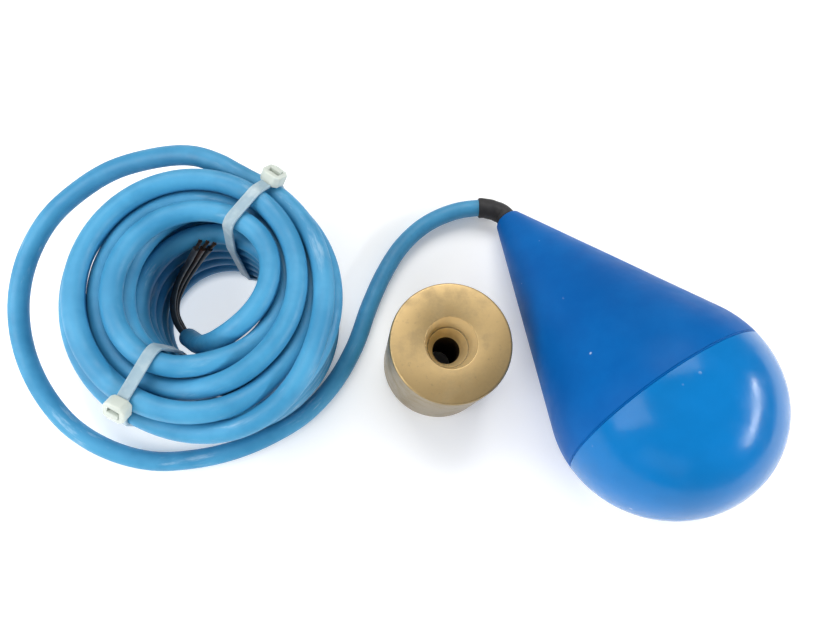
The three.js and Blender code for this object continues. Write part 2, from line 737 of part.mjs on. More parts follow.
function leadCurve() {
  const coilEnd = coilPoints[coilPoints.length - 1];
  const coilWay = coilEnd.clone().sub(coilPoints[coilPoints.length - 2]).normalize();
  const points = [
    coilEnd.clone().addScaledVector(coilWay, fit),
    coilEnd.clone().addScaledVector(coilWay, fit + cableRadius),
    ...leadRoute.map((spot) => new THREE.Vector3(...spot)),
    neckFace.clone().addScaledVector(neckWay, fit + cableRadius),
    neckFace.clone().addScaledVector(neckWay, fit),
  ];
  return new LeadCurve(points, bootLength, bootStepShare);
}

// The last stretch of another curve, paced as that curve is.
class LastStretch extends THREE.Curve {
  constructor(whole, stretchShare) {
    super();
    this.whole = whole;
    this.stretchShare = stretchShare;
  }

  getPointAt(u, target) {
    return this.whole.getPointAt(1 - (1 - u) * this.stretchShare, target);
  }

  getTangentAt(u, target) {
    return this.whole.getTangentAt(1 - (1 - u) * this.stretchShare, target);
  }
}

// The boot is a sleeve round the lead's last stretch, up to the neck's face.
function cableBoot(lead) {
  const section = new THREE.Shape();
  section.absarc(0, 0, cableBore + bootWall, 0, 2 * Math.PI);
  const hole = new THREE.Path();
  hole.absarc(0, 0, cableBore, 0, 2 * Math.PI, true);
  section.holes.push(hole);
  const options = {
    steps: leadSteps * bootStepShare,
    curveSegments: leadSides / 2,
    bevelEnabled: false,
    extrudePath: new LastStretch(lead, bootStepShare),
  };
  return new THREE.ExtrudeGeometry(section, options);
}

// Where the coil crosses an upright plane, as [along, height] with the cable's half width there.
// The free end climbs inside both ties, so its steps are passed over.
function crossings(plane) {
  const found = [];
  for (let i = freeEndSteps; i + 1 < coilPoints.length; i += 1) {
    const [near, far] = [coilPoints[i], coilPoints[i + 1]];
    const [a, b] = [plane.off(near), plane.off(far)];
    if (a * b > 0) {
      continue;
    }
    const spot = near.clone().lerp(far, a / (a - b));
    const along = plane.along(spot);
    const cosine = Math.abs(plane.off(far) - plane.off(near)) / near.distanceTo(far);
    if (along > 0) {
      found.push({ along, height: spot.z, half: cableRadius / cosine });
    }
  }
  return found;
}

// An upright plane through a point of the floor plan, its along direction at a given heading.
function uprightPlane(x, y, heading, shift) {
  const [cos, sin] = [Math.cos(heading), Math.sin(heading)];
  const start = -(x * cos + y * sin) + Math.hypot(x, y);
  return {
    off: (p) => (p.y - y) * cos - (p.x - x) * sin - shift,
    along: (p) => p.x * cos + p.y * sin + start,
  };
}

// The convex outline round a set of points, counter-clockwise.
function hullOf(points) {
  const sorted = [...points].sort((p, q) => p.x - q.x || p.y - q.y);
  const chain = (list) => {
    const kept = [];
    for (const p of list) {
      while (kept.length > 1) {
        const [a, b] = kept.slice(-2);
        if ((b.x - a.x) * (p.y - a.y) - (b.y - a.y) * (p.x - a.x) > 0) {
          break;
        }
        kept.pop();
      }
      kept.push(p);
    }
    return kept.slice(0, -1);
  };
  return [...chain(sorted), ...chain(sorted.reverse())];
}

// The outline of a strap's inner or outer face: the hull of the cables that it holds, grown by a margin.
function strapOutline(held, margin) {
  const points = [];
  for (const { along, height, half } of held) {
    for (let k = 0; k < smallSides; k += 1) {
      const angle = (2 * Math.PI * k) / smallSides;
      const [reach, rise] = [half + margin, cableRadius + margin];
      points.push(new THREE.Vector2(along + reach * Math.cos(angle), height + rise * Math.sin(angle)));
    }
  }
  return hullOf(points);
}

// A cable tie: a strap drawn round the bundle at one place and a head that leans out at an angle.
function cableTie({ radius, angle, heading, headLean }) {
  const [x, y] = [radius * Math.cos(angle), radius * Math.sin(angle)];
  const held = [-strapWidth / 2, 0, strapWidth / 2].flatMap((shift) => crossings(uprightPlane(x, y, heading, shift)));
  const outer = strapOutline(held, cableHoldOff + strapThickness);
  const strap = new THREE.Shape(outer);
  strap.holes.push(new THREE.Path(strapOutline(held, cableHoldOff)));
  const band = new THREE.ExtrudeGeometry(strap, { depth: strapWidth, bevelEnabled: false });
  band.translate(0, 0, -strapWidth / 2);

  const out = new THREE.Vector2(Math.cos(headLean), Math.sin(headLean));
  const seat = outer.reduce((best, p) => (p.dot(out) > best.dot(out) ? p : best));
  const head = tieHeadSolid().rotateZ(headLean).translate(seat.x, seat.y, 0);
  const slot = block({ x: 2 * tieSlot.deep, y: tieSlot.along, z: tieSlot.across }, tieHead.thick - strapThickness, 0, 0);
  slot.rotateZ(headLean).translate(seat.x, seat.y, 0);
  const tie = carve(band, [head], [slot]);

  const start = -(x * Math.cos(heading) + y * Math.sin(heading)) + Math.hypot(x, y);
  const [cos, sin] = [Math.cos(heading), Math.sin(heading)];
  const foot = (x * -sin + y * cos);
  const placed = new THREE.Matrix4().set(
    cos, 0, sin, -start * cos - foot * sin,
    sin, 0, -cos, -start * sin + foot * cos,
    0, 1, 0, 0,
    0, 0, 0, 1,
  );
  return tie.applyMatrix4(placed);
}

// The head's block with its corners cut, standing out along X from the strap's outer face.
function tieHeadSolid() {
  const corner = tieHead.along / 5;
  const [half, wide] = [tieHead.along / 2, tieHead.across / 2];
  const outline = new THREE.Shape();
  outline.moveTo(-half, -wide + corner);
  outline.lineTo(-half + corner, -wide);
  outline.lineTo(half - corner, -wide);
  outline.lineTo(half, -wide + corner);
  outline.lineTo(half, wide - corner);
  outline.lineTo(half - corner, wide);
  outline.lineTo(-half + corner, wide);
  outline.lineTo(-half, wide - corner);
  const head = new THREE.ExtrudeGeometry(outline, { depth: tieHead.thick, bevelEnabled: false });
  head.rotateY(Math.PI / 2).rotateX(Math.PI / 2);
  return head.translate(-strapThickness, 0, 0);
}

const upperTie = {
  radius: 33.3,
  angle: THREE.MathUtils.degToRad(66.8),
  heading: THREE.MathUtils.degToRad(55),
  headLean: THREE.MathUtils.degToRad(50),
};
const lowerTie = {
  radius: 34.7,
  angle: THREE.MathUtils.degToRad(240.9),
  heading: THREE.MathUtils.degToRad(245),
  headLean: THREE.MathUtils.degToRad(35),
};

// The three bared cores at the cable's free end climb the coil's inner wall side by side, a bare strand on each.
const endCoreRoute = [
  [-19.4, -0.4, 19.6],
  [-19.4, 5.4, 23.2],
  [-17, 11, 27.5],
  [-13, 15.2, 34],
  [-8, 18.1, 42],
  [-3.8, 19.5, 49.5],
];

const endCoreSteps = 16;

function endCoreCurve(index) {
  const start = coilPoints[0];
  const way = start.clone().sub(coilPoints[1]).normalize();
  const points = [
    start.clone().addScaledVector(way, fit),
    start.clone().addScaledVector(way, fit + cableRadius),
    ...endCoreRoute.map((spot) => new THREE.Vector3(...spot)),
  ];
  const middle = new THREE.CatmullRomCurve3(points, false, "centripetal");
  const aside = (1 - index) * (2 * endCoreRadius + fit);
  const moved = [];
  for (let i = 0; i <= endCoreSteps; i += 1) {
    const spot = middle.getPointAt(i / endCoreSteps);
    const inward = new THREE.Vector3(-spot.x, -spot.y, 0);
    const across = middle.getTangentAt(i / endCoreSteps).cross(inward).normalize();
    moved.push(spot.addScaledVector(across, aside));
  }
  return new THREE.CatmullRomCurve3(moved, false, "centripetal");
}

function endCore(index) {
  return cordTube(endCoreCurve(index), endCoreRadius, endCoreSteps, coreSides);
}

function endStrand(index) {
  const curve = endCoreCurve(index);
  const tip = curve.getPointAt(1);
  const way = curve.getTangentAt(1);
  const foot = tip.clone().addScaledVector(way, fit);
  const line = new THREE.LineCurve3(foot, foot.clone().addScaledVector(way, strandLength));
  return cordTube(line, strandRadius, 1, coreSides);
}

// The cable with its ties, boot and bared end.
function cableGroup() {
  const group = new THREE.Group();
  const lead = leadCurve();
  group.add(piece("cable_coil", woundTube(coilPoints, cableRadius, coilSides), finishes.cable));
  group.add(piece("cable_lead", cordTube(lead, cableRadius, leadSteps, leadSides), finishes.cable));
  group.add(piece("cable_boot", cableBoot(lead), finishes.rubber));
  group.add(piece("tie_upper", cableTie(upperTie), finishes.nylon));
  group.add(piece("tie_lower", cableTie(lowerTie), finishes.nylon));
  coreNames.forEach((name, i) => {
    group.add(piece(`end_core_${name}`, endCore(i), finishes[name]));
    group.add(piece(`end_strand_${name}`, endStrand(i), finishes.copper));
  });
  return group;
}

// The part's origin is the middle of the base of the float and the counterweight.
function assembled() {
  const group = new THREE.Group();
  const solid = new THREE.Group();
  solid.add(floatGroup());
  solid.add(piece("counterweight", counterweight(), finishes.brass));
  solid.updateMatrixWorld(true);
  const box = new THREE.Box3().setFromObject(solid, true);
  group.add(solid, cableGroup());
  const middle = box.getCenter(new THREE.Vector3());
  group.position.set(-middle.x, -middle.y, 0);
  return group;
}

const group = assembled();
export default group;
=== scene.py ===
"""A cable float switch as the photograph shows it: float, tied coil of cable and loose counterweight.

Lengths are in metres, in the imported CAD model's frame. The floor plan of the cable is measured from
the coil's own centre, as the CAD source measures it.
"""

import json
import logging
import math
from collections.abc import Callable, Iterable, Sequence
from dataclasses import dataclass, field
from enum import Enum

import bmesh
import bpy
from bpy.types import Material, Mesh, Node, NodeSocket, Object
from mathutils import Matrix, Vector, noise


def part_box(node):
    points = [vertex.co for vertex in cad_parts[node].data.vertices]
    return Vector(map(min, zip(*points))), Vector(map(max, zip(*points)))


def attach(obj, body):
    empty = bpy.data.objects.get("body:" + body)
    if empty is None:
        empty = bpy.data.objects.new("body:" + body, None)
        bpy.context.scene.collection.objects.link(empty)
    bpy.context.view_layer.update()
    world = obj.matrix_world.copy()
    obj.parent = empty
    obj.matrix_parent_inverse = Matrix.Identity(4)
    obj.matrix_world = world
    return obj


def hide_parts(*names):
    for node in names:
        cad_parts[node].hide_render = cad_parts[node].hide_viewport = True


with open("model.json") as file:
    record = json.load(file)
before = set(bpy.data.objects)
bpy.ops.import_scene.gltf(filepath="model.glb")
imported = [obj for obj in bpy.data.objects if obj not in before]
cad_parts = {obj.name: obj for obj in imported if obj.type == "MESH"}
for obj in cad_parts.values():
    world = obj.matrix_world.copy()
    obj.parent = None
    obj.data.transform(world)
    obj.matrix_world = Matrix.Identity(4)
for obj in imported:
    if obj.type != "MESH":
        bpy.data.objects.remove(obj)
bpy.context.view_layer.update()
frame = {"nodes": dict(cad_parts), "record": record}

LOG = logging.getLogger("float_switch")
MM = 0.001
THICK_SHARE = "thick_share"
Outline = list[tuple[float, float]]
Triple = tuple[float, float, float]


class Body(Enum):
    """The CAD bodies that the scene's pieces ride on."""

    CABLE = "cable"
    FLOAT = "float"
    WEIGHT = "counterweight"


class Slot(Enum):
    """The record's material slots."""

    CONE = "cone_blue"
    DOME = "dome_blue"
    RUBBER = "black_rubber"
    WHITE = "white_plastic"
    CABLE = "cable_blue"
    NYLON = "nylon"
    STEEL = "steel"
    GREY = "grey_plastic"
    BLACK = "black_plastic"
    COPPER = "copper"
    CORE_BLACK = "core_black"
    CORE_BROWN = "core_brown"
    CORE_GREY = "core_grey"
    BRASS = "brass"


def middle_of(node: str) -> Vector:
    """Give the middle of a CAD node's box."""
    low, high = (Vector(corner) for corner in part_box(node))
    return (low + high) / 2


def floor_under(node: str) -> Vector:
    """Give the point of the floor under the middle of a CAD node's box."""
    middle = middle_of(node)
    return Vector((middle.x, middle.y, 0.0))


WEIGHT_ON_PLAN = Vector((90.5, -14.0, 0.0)) * MM
LAYOUT = floor_under("counterweight") - WEIGHT_ON_PLAN


def on_plan(x: float, y: float, z: float) -> Vector:
    """Turn a place on the cable's floor plan, in millimetres, into the frame's metres."""
    return LAYOUT + Vector((x, y, z)) * MM


@dataclass(frozen=True)
class PhotoCamera:
    """The photograph's viewpoint, as its picture size, focal length and the point straight below."""

    width_px: float = 827.0
    height_px: float = 620.0
    focal_px: float = 650.0
    nadir_px: tuple[float, float] = (355.0, 482.0)
    place: Triple = (55.1, -65.3, 286.0)
    sensor_mm: float = 36.0
    clip_start: float = 1.0 * MM

    def turned(self) -> Matrix:
        """Work out the camera's axes from the picture point that lies straight below it.

        Returns:
            A rotation whose columns are the camera's right, up and backward ways.
        """
        down_px = (self.nadir_px[0] - self.width_px / 2, self.nadir_px[1] - self.height_px / 2)
        below = Vector((down_px[0], down_px[1], self.focal_px)).normalized()
        east = (Vector((1, 0, 0)) - below * below.x).normalized()
        above = -below
        north = above.cross(east)
        right = Vector((east.x, north.x, above.x))
        down = Vector((east.y, north.y, above.y))
        ahead = Vector((east.z, north.z, above.z))
        return Matrix((right, -down, -ahead)).transposed()

    def build(self) -> Object:
        """Make the camera and set it as the scene's own.

        Returns:
            The camera object.
        """
        data = bpy.data.cameras.new("photo_camera")
        data.sensor_width = self.sensor_mm
        data.lens = self.focal_px / self.width_px * self.sensor_mm
        data.clip_start = self.clip_start
        camera = bpy.data.objects.new("photo_camera", data)
        camera.matrix_world = Matrix.Translation(on_plan(*self.place)) @ self.turned().to_4x4()
        bpy.context.scene.collection.objects.link(camera)
        bpy.context.scene.camera = camera
        return camera


def place_mesh(name: str, mesh: Mesh, sharp: float = 35.0) -> Object:
    """Link a mesh as an object, smooth but for its sharp edges.

    Args:
        name: the piece's name.
        mesh: its mesh.
        sharp: edges that turn more than this many degrees stay sharp.

    Returns:
        The new object.
    """
    piece = bpy.data.objects.new(name, mesh)
    bpy.context.scene.collection.objects.link(piece)
    mesh.shade_smooth()
    mesh.set_sharp_from_angle(angle=math.radians(sharp))
    return piece


def mesh_from(name: str, points: Sequence[Vector], faces: Sequence[Sequence[int]]) -> Mesh:
    """Make a mesh with its faces turned outward.

    Args:
        name: the mesh's name.
        points: its vertices.
        faces: its faces, as rows of vertex numbers.

    Returns:
        The mesh.
    """
    mesh = bpy.data.meshes.new(name)
    mesh.from_pydata([tuple(point) for point in points], [], [tuple(face) for face in faces])
    work = bmesh.new()
    work.from_mesh(mesh)
    bmesh.ops.recalc_face_normals(work, faces=work.faces)
    work.to_mesh(mesh)
    work.free()
    return mesh


def dress(piece: Object, finishes: dict[Slot, Material], slot: Slot, body: Body) -> None:
    """Give a piece its finish and set it on its body.

    Args:
        piece: the piece.
        finishes: the materials by slot.
        slot: the piece's own slot.
        body: the body that it rides on.
    """
    piece.data.materials.append(finishes[slot])
    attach(piece, body.value)
    LOG.info("%s: %d faces", piece.name, len(piece.data.polygons))


def lathe(
    name: str, outline: Outline, sides: int, wobble: Callable[[float, float], float] | None = None
) -> Mesh:
    """Turn a closed outline round Z.

    Args:
        name: the mesh's name.
        outline: radius and height of each corner; a corner at no radius becomes one point.
        sides: how many steps go round.
        wobble: an offset of the radius at an angle and a height.

    Returns:
        The turned mesh.
    """
    points: list[Vector] = []
    rows: list[list[int]] = []
    for radius, height in outline:
        if radius == 0.0:
            rows.append([len(points)] * sides)
            points.append(Vector((0.0, 0.0, height)))
            continue
        rows.append(list(range(len(points), len(points) + sides)))
        for k in range(sides):
            angle = 2 * math.pi * k / sides
            reach = radius + (wobble(angle, height) if wobble else 0.0)
            points.append(Vector((reach * math.cos(angle), reach * math.sin(angle), height)))
    faces = []
    for here, there in zip(rows, rows[1:] + rows[:1]):
        for k in range(sides):
            after = (k + 1) % sides
            face = list(dict.fromkeys((here[k], here[after], there[after], there[k])))
            if len(face) > 2:
                faces.append(face)
    return mesh_from(name, points, faces)


def arc(
    radius: float, start: float, end: float, steps: int, centre: tuple[float, float] = (0.0, 0.0)
) -> Outline:
    """List points on an arc of an outline.

    Args:
        radius: the arc's radius.
        start: its first angle, from the radius way up.
        end: its last angle.
        steps: how many steps it takes.
        centre: radius and height of its centre.

    Returns:
        The points.
    """
    spots = []
    for i in range(steps + 1):
        angle = start + (end - start) * i / steps
        spots.append((centre[0] + radius * math.cos(angle), centre[1] + radius * math.sin(angle)))
    return spots


def carried_on(path: Sequence[Vector]) -> list[tuple[Vector, Vector, Vector]]:
    """Carry a pair of cross axes along a path without twist.

    Args:
        path: the path's points.

    Returns:
        The way ahead and the two cross axes at each point.
    """
    frames = []
    across = Vector((0.0, 0.0, 1.0))
    for i, _ in enumerate(path):
        way = (path[min(i + 1, len(path) - 1)] - path[max(i - 1, 0)]).normalized()
        across = (across - way * across.dot(way)).normalized()
        frames.append((way, across, way.cross(across)))
    return frames


def lengths_along(path: Sequence[Vector]) -> list[float]:
    """List how far along a path each of its points lies.

    Args:
        path: the path's points.

    Returns:
        The length up to each point.
    """
    along = [0.0]
    for before, after in zip(path, path[1:]):
        along.append(along[-1] + (after - before).length)
    return along


def skin(rings: int, sides: int, closed: bool = False) -> list[list[int]]:
    """List the faces between rings of points that are numbered one ring after another.

    Args:
        rings: how many rings there are.
        sides: how many points each has.
        closed: whether the last ring joins the first.

    Returns:
        The faces, as rows of point numbers.
    """
    faces = []
    for i in range(rings if closed else rings - 1):
        here, there = i * sides, (i + 1) % rings * sides
        for k in range(sides):
            after = (k + 1) % sides
            faces.append([here + k, here + after, there + after, there + k])
    return faces


def tube(name: str, path: Sequence[Vector], radius: Callable[[int], float], sides: int) -> Mesh:
    """Make a closed tube along a path, with its length and girth as UVs in metres.

    Args:
        name: the mesh's name.
        path: the centre line.
        radius: the tube's radius at each point's number.
        sides: how many sides it has.

    Returns:
        The tube's mesh.
    """
    points: list[Vector] = []
    for i, (_, across, over) in enumerate(carried_on(path)):
        for k in range(sides):
            angle = 2 * math.pi * k / sides
            points.append(path[i] + (across * math.cos(angle) + over * math.sin(angle)) * radius(i))
    last = (len(path) - 1) * sides
    lids = [list(range(sides))[::-1], list(range(last, last + sides))]
    mesh = mesh_from(name, points, skin(len(path), sides) + lids)
    along = lengths_along(path)
    girth = 2 * math.pi * radius(0)
    layer = mesh.uv_layers.new(name="sheath")
    for polygon in mesh.polygons:
        columns = [vertex % sides for vertex in polygon.vertices]
        wraps = len(columns) == 4 and max(columns) - min(columns) > sides / 2
        for loop, column in zip(polygon.loop_indices, columns):
            row = mesh.loops[loop].vertex_index // sides
            turn = column + sides if wraps and column == 0 else column
            layer.data[loop].uv = (turn / sides * girth, along[row])
    return mesh


def smooth_path(points: Sequence[Vector], spacing: float) -> list[Vector]:
    """Draw a smooth curve through points that may lie unevenly.

    Args:
        points: the places that the curve passes.
        spacing: the longest step between the points of the result.

    Returns:
        The finer path.
    """
    fine: list[Vector] = []
    ends = [points[0] * 2 - points[1], *points, points[-1] * 2 - points[-2]]
    for i in range(1, len(ends) - 2):
        a, b, c, d = ends[i - 1 : i + 3]
        t = [0.0]
        for p, q in ((a, b), (b, c), (c, d)):
            t.append(t[-1] + max((q - p).length, 1e-9) ** 0.5)
        steps = max(1, math.ceil((c - b).length / spacing))
        for step in range(steps):
            u = t[1] + (t[2] - t[1]) * step / steps
            ab = a.lerp(b, (u - t[0]) / (t[1] - t[0]))
            bc = b.lerp(c, (u - t[1]) / (t[2] - t[1]))
            cd = c.lerp(d, (u - t[2]) / (t[3] - t[2]))
            abc = ab.lerp(bc, (u - t[0]) / (t[2] - t[0]))
            bcd = bc.lerp(cd, (u - t[1]) / (t[3] - t[1]))
            fine.append(abc.lerp(bcd, (u - t[1]) / (t[2] - t[1])))
    fine.append(points[-1].copy())
    return fine


def joined(name: str, meshes: Iterable[Mesh]) -> Mesh:
    """Gather meshes into one.

    Args:
        name: the new mesh's name.
        meshes: the meshes, which are used up.

    Returns:
        The one mesh.
    """
    work = bmesh.new()
    for mesh in meshes:
        work.from_mesh(mesh)
    whole = bpy.data.meshes.new(name)
    work.to_mesh(whole)
    work.free()
    return whole


class Bench:
    """A material's node tree with a principled shader, ready for textures."""

    def __init__(self, name: str) -> None:
        """Start an empty material.

        Args:
            name: the material's name.
        """
        self.material = bpy.data.materials.new(name)
        self.material.use_nodes = True
        self.tree = self.material.node_tree
        self.tree.nodes.clear()
        self.shader = self.tree.nodes.new("ShaderNodeBsdfPrincipled")
        output = self.tree.nodes.new("ShaderNodeOutputMaterial")
        self.tree.links.new(self.shader.outputs["BSDF"], output.inputs["Surface"])

    def put(self, socket: NodeSocket, value: object) -> None:
        """Fill an input.

        Args:
            socket: the input.
            value: a socket to link to it, or a plain value to set.
        """
        if isinstance(value, NodeSocket):
            self.tree.links.new(value, socket)
        else:
            socket.default_value = value

    def node(self, kind: str, settings: dict[str, object] | None = None, **inputs: object) -> Node:
        """Add a node.

        Args:
            kind: its type without the ShaderNode in front.
            settings: its own properties.
            inputs: its sockets by name, with spaces as underscores.

        Returns:
            The node.
        """
        node = self.tree.nodes.new("ShaderNode" + kind)
        for key, value in (settings or {}).items():
            setattr(node, key, value)
        for key, value in inputs.items():
            self.put(node.inputs[key.replace("_", " ")], value)
        return node

    def coordinates(self, kind: str, scale: Triple = (1.0, 1.0, 1.0)) -> NodeSocket:
        """Give texture coordinates of a kind, scaled.

        Args:
            kind: Object or UV.
            scale: the scale along each axis.

        Returns:
            The coordinates' socket.
        """
        source = self.node("TexCoord").outputs[kind]
        return self.node("Mapping", Vector=source, Scale=scale).outputs["Vector"]

    def noise(
        self, place: NodeSocket, scale: float, detail: float = 3.0, roughness: float = 0.55
    ) -> NodeSocket:
        """Give a noise's value.

        Args:
            place: the coordinates.
            scale: how many of its waves fit in one unit of them.
            detail: how many finer waves are added.
            roughness: how strong those are.

        Returns:
            The value's socket.
        """
        node = self.node("TexNoise", Vector=place, Scale=scale, Detail=detail, Roughness=roughness)
        return node.outputs["Fac"]

    def ramp(
        self, value: NodeSocket, low: float, high: float, start: float = 0.0, end: float = 1.0
    ) -> NodeSocket:
        """Stretch a value between two limits, held at both.

        Args:
            value: the value.
            low: where the result starts to change.
            high: where it stops.
            start: the result at low.
            end: the result at high.

        Returns:
            The result's socket.
        """
        node = self.node(
            "MapRange", {"interpolation_type": "SMOOTHSTEP"},
            Value=value, From_Min=low, From_Max=high, To_Min=start, To_Max=end,
        )
        return node.outputs["Result"]

    def mottle(
        self, place: NodeSocket, scale: float, detail: float, start: float = 0.0, end: float = 1.0,
        roughness: float = 0.55,
    ) -> NodeSocket:
        """Give a noise whose middle tones are stretched from one value to another.

        Args:
            place: the coordinates.
            scale: the noise's scale.
            detail: its detail.
            start: the result in its low places.
            end: the result in its high places.
            roughness: its roughness.

        Returns:
            The result's socket.
        """
        return self.ramp(self.noise(place, scale, detail, roughness), 0.3, 0.7, start, end)

    def distance(self, place: NodeSocket, point: Vector) -> NodeSocket:
        """Give how far a place is from a point.

        Args:
            place: the coordinates.
            point: the point.

        Returns:
            The distance's socket.
        """
        node = self.node("VectorMath", {"operation": "DISTANCE"}, Vector=place)
        node.inputs[1].default_value = point
        return node.outputs["Value"]

    def mix(self, amount: NodeSocket, first: NodeSocket | Triple, second: NodeSocket | Triple) -> NodeSocket:
        """Mix two colours.

        Args:
            amount: how much of the second colour there is.
            first: one colour.
            second: the other colour.

        Returns:
            The colour's socket.
        """
        node = self.tree.nodes.new("ShaderNodeMix")
        node.data_type = "RGBA"
        self.put(node.inputs[0], amount)
        for socket, value in ((node.inputs[6], first), (node.inputs[7], second)):
            self.put(socket, (*value, 1.0) if isinstance(value, tuple) else value)
        return node.outputs[2]

    def maths(
        self, operation: str, first: NodeSocket | float, second: NodeSocket | float = 0.0
    ) -> NodeSocket:
        """Combine two values.

        Args:
            operation: what is done with them, by the Math node's own name for it.
            first: one value.
            second: the other value, where the operation takes two.

        Returns:
            The result's socket.
        """
        node = self.node("Math", {"operation": operation})
        self.put(node.inputs[0], first)
        self.put(node.inputs[1], second)
        return node.outputs[0]

    def bump(
        self, height: NodeSocket, distance: float, strength: float, under: NodeSocket | None = None
    ) -> NodeSocket:
        """Give a bumped normal.

        Args:
            height: the height's socket.
            distance: how high a height of 1 stands.
            strength: how much of it is used.
            under: a normal that this one adds to.

        Returns:
            The normal's socket.
        """
        node = self.node("Bump", Height=height, Distance=distance, Strength=strength)
        if under is not None:
            self.put(node.inputs["Normal"], under)
        return node.outputs["Normal"]

    def finish(self, **inputs: object) -> Material:
        """Fill the shader's inputs.

        Args:
            inputs: its sockets by name, with spaces as underscores.

        Returns:
            The finished material.
        """
        for key, value in inputs.items():
            self.put(self.shader.inputs[key.replace("_", " ")], value)
        return self.material


@dataclass(frozen=True)
class SheathRubber:
    """The cable's matte sheath, with cloudy colour, fine draw lines and pale scuffs."""

    name: str
    deep: Triple
    light: Triple
    scuff: Triple
    scuff_share: float = 0.5
    roughness: float = 0.5
    specular: float = 0.42
    line_scale: Triple = (900.0, 14.0, 1.0)
    streak_scale: Triple = (160.0, 28.0, 1.0)

    def build(self) -> Material:
        """Make the sheath's material.

        Returns:
            The material.
        """
        bench = Bench(self.name)
        place = bench.coordinates("Object")
        cloud = bench.ramp(bench.noise(place, 45.0, 4.0), 0.35, 0.65)
        base = bench.mix(cloud, self.deep, self.light)
        lines = bench.noise(bench.coordinates("UV", self.line_scale), 1.0, 2.0)
        drag = bench.noise(bench.coordinates("UV", self.streak_scale), 1.0, 5.0, 0.7)
        streaks = bench.ramp(drag, 0.54, 0.72)
        patches = bench.ramp(bench.noise(place, 22.0, 2.0), 0.45, 0.62)
        worn = bench.maths("MULTIPLY", bench.maths("MULTIPLY", streaks, patches), self.scuff_share)
        colour = bench.mix(worn, base, self.scuff)
        rough = bench.mottle(place, 260.0, 3.0, self.roughness - 0.07, self.roughness + 0.1)
        grain = bench.bump(bench.noise(place, 2600.0, 2.0), 0.03 * MM, 0.6)
        normal = bench.bump(lines, 0.04 * MM, 0.6, grain)
        return bench.finish(
            Base_Color=colour, Roughness=rough, Normal=normal, Specular_IOR_Level=self.specular
        )


@dataclass(frozen=True)
class MouldedPlastic:
    """A moulded plastic skin with faint mottling, scratches, pale dings and orange-peel."""

    name: str
    deep: Triple
    light: Triple
    roughness: float
    dings: float
    specular: float
    ding_colour: Triple = (0.62, 0.72, 0.85)
    peel: float = 0.04 * MM
    scratch: float = 0.02 * MM
    scratch_scale: Triple = (40.0, 700.0, 300.0)

    def build(self) -> Material:
        """Make the plastic's material.

        Returns:
            The material.
        """
        bench = Bench(self.name)
        place = bench.coordinates("Object")
        base = bench.mix(bench.mottle(place, 28.0, 5.0, roughness=0.6), self.deep, self.light)
        spots = bench.node("TexVoronoi", Vector=place, Scale=160.0, Randomness=1.0).outputs["Distance"]
        rare = bench.ramp(bench.noise(place, 75.0, 2.0), 0.59, 0.66)
        some = bench.maths("MULTIPLY", rare, self.dings)
        ding = bench.maths("MULTIPLY", bench.ramp(spots, 0.13, 0.07), some)
        colour = bench.mix(ding, base, self.ding_colour)
        scratches = bench.noise(bench.coordinates("Object", self.scratch_scale), 1.0, 2.0)
        rough = bench.mottle(place, 120.0, 4.0, self.roughness - 0.05, self.roughness + 0.07)
        peel = bench.bump(bench.noise(place, 420.0, 3.0), self.peel, 0.7)
        normal = bench.bump(bench.maths("SUBTRACT", scratches, ding), self.scratch, 0.5, peel)
        return bench.finish(
            Base_Color=colour, Roughness=rough, Normal=normal, Specular_IOR_Level=self.specular
        )


@dataclass(frozen=True)
class PlainMoulding:
    """A plain moulded or dipped skin with a fine grain, for small and inner pieces."""

    name: str
    deep: Triple
    light: Triple
    roughness: float
    grain: float = 700.0
    relief: float = 0.04 * MM
    metallic: float = 0.0

    def build(self) -> Material:
        """Make the moulding's material.

        Returns:
            The material.
        """
        bench = Bench(self.name)
        place = bench.coordinates("Object")
        base = bench.mix(bench.mottle(place, 180.0, 4.0), self.deep, self.light)
        rough = bench.mottle(place, 400.0, 3.0, self.roughness - 0.06, self.roughness + 0.08)
        normal = bench.bump(bench.noise(place, self.grain, 4.0, 0.6), self.relief, 0.8)
        return bench.finish(Base_Color=base, Roughness=rough, Normal=normal, Metallic=self.metallic)


@dataclass(frozen=True)
class NaturalNylon:
    """The ties' milky nylon, which lets a little light through; the thin strap's darker bluish grey is
    painted light that stands in for the blue cable seen through the nylon.
    """

    name: str
    strap: Triple = (0.27, 0.38, 0.45)
    head: Triple = (0.53, 0.575, 0.52)
    streak: Triple = (0.66, 0.73, 0.72)
    glow_share: float = 0.3
    glow_depth: float = 1.2 * MM

    def build(self) -> Material:
        """Make the nylon's material.

        Returns:
            The material.
        """
        bench = Bench(self.name)
        place = bench.coordinates("Object")
        thick = bench.node("Attribute", {"attribute_name": THICK_SHARE}).outputs["Fac"]
        # painted light: the thin strap takes a darker bluish grey for the blue cable seen through it; the
        # thick head keeps the milky colour
        base = bench.mix(thick, self.strap, self.head)
        streaks = bench.ramp(bench.noise(place, 160.0, 3.0), 0.4, 0.8, 0.0, 0.45)
        rough = bench.mottle(place, 500.0, 3.0, 0.34, 0.5)
        normal = bench.bump(bench.noise(place, 1500.0, 3.0), 0.03 * MM, 0.6)
        return bench.finish(
            Base_Color=bench.mix(streaks, base, self.streak), Roughness=rough, Normal=normal,
            Subsurface_Weight=self.glow_share, Subsurface_Radius=(1.0, 1.0, 1.0),
            Subsurface_Scale=self.glow_depth,
        )


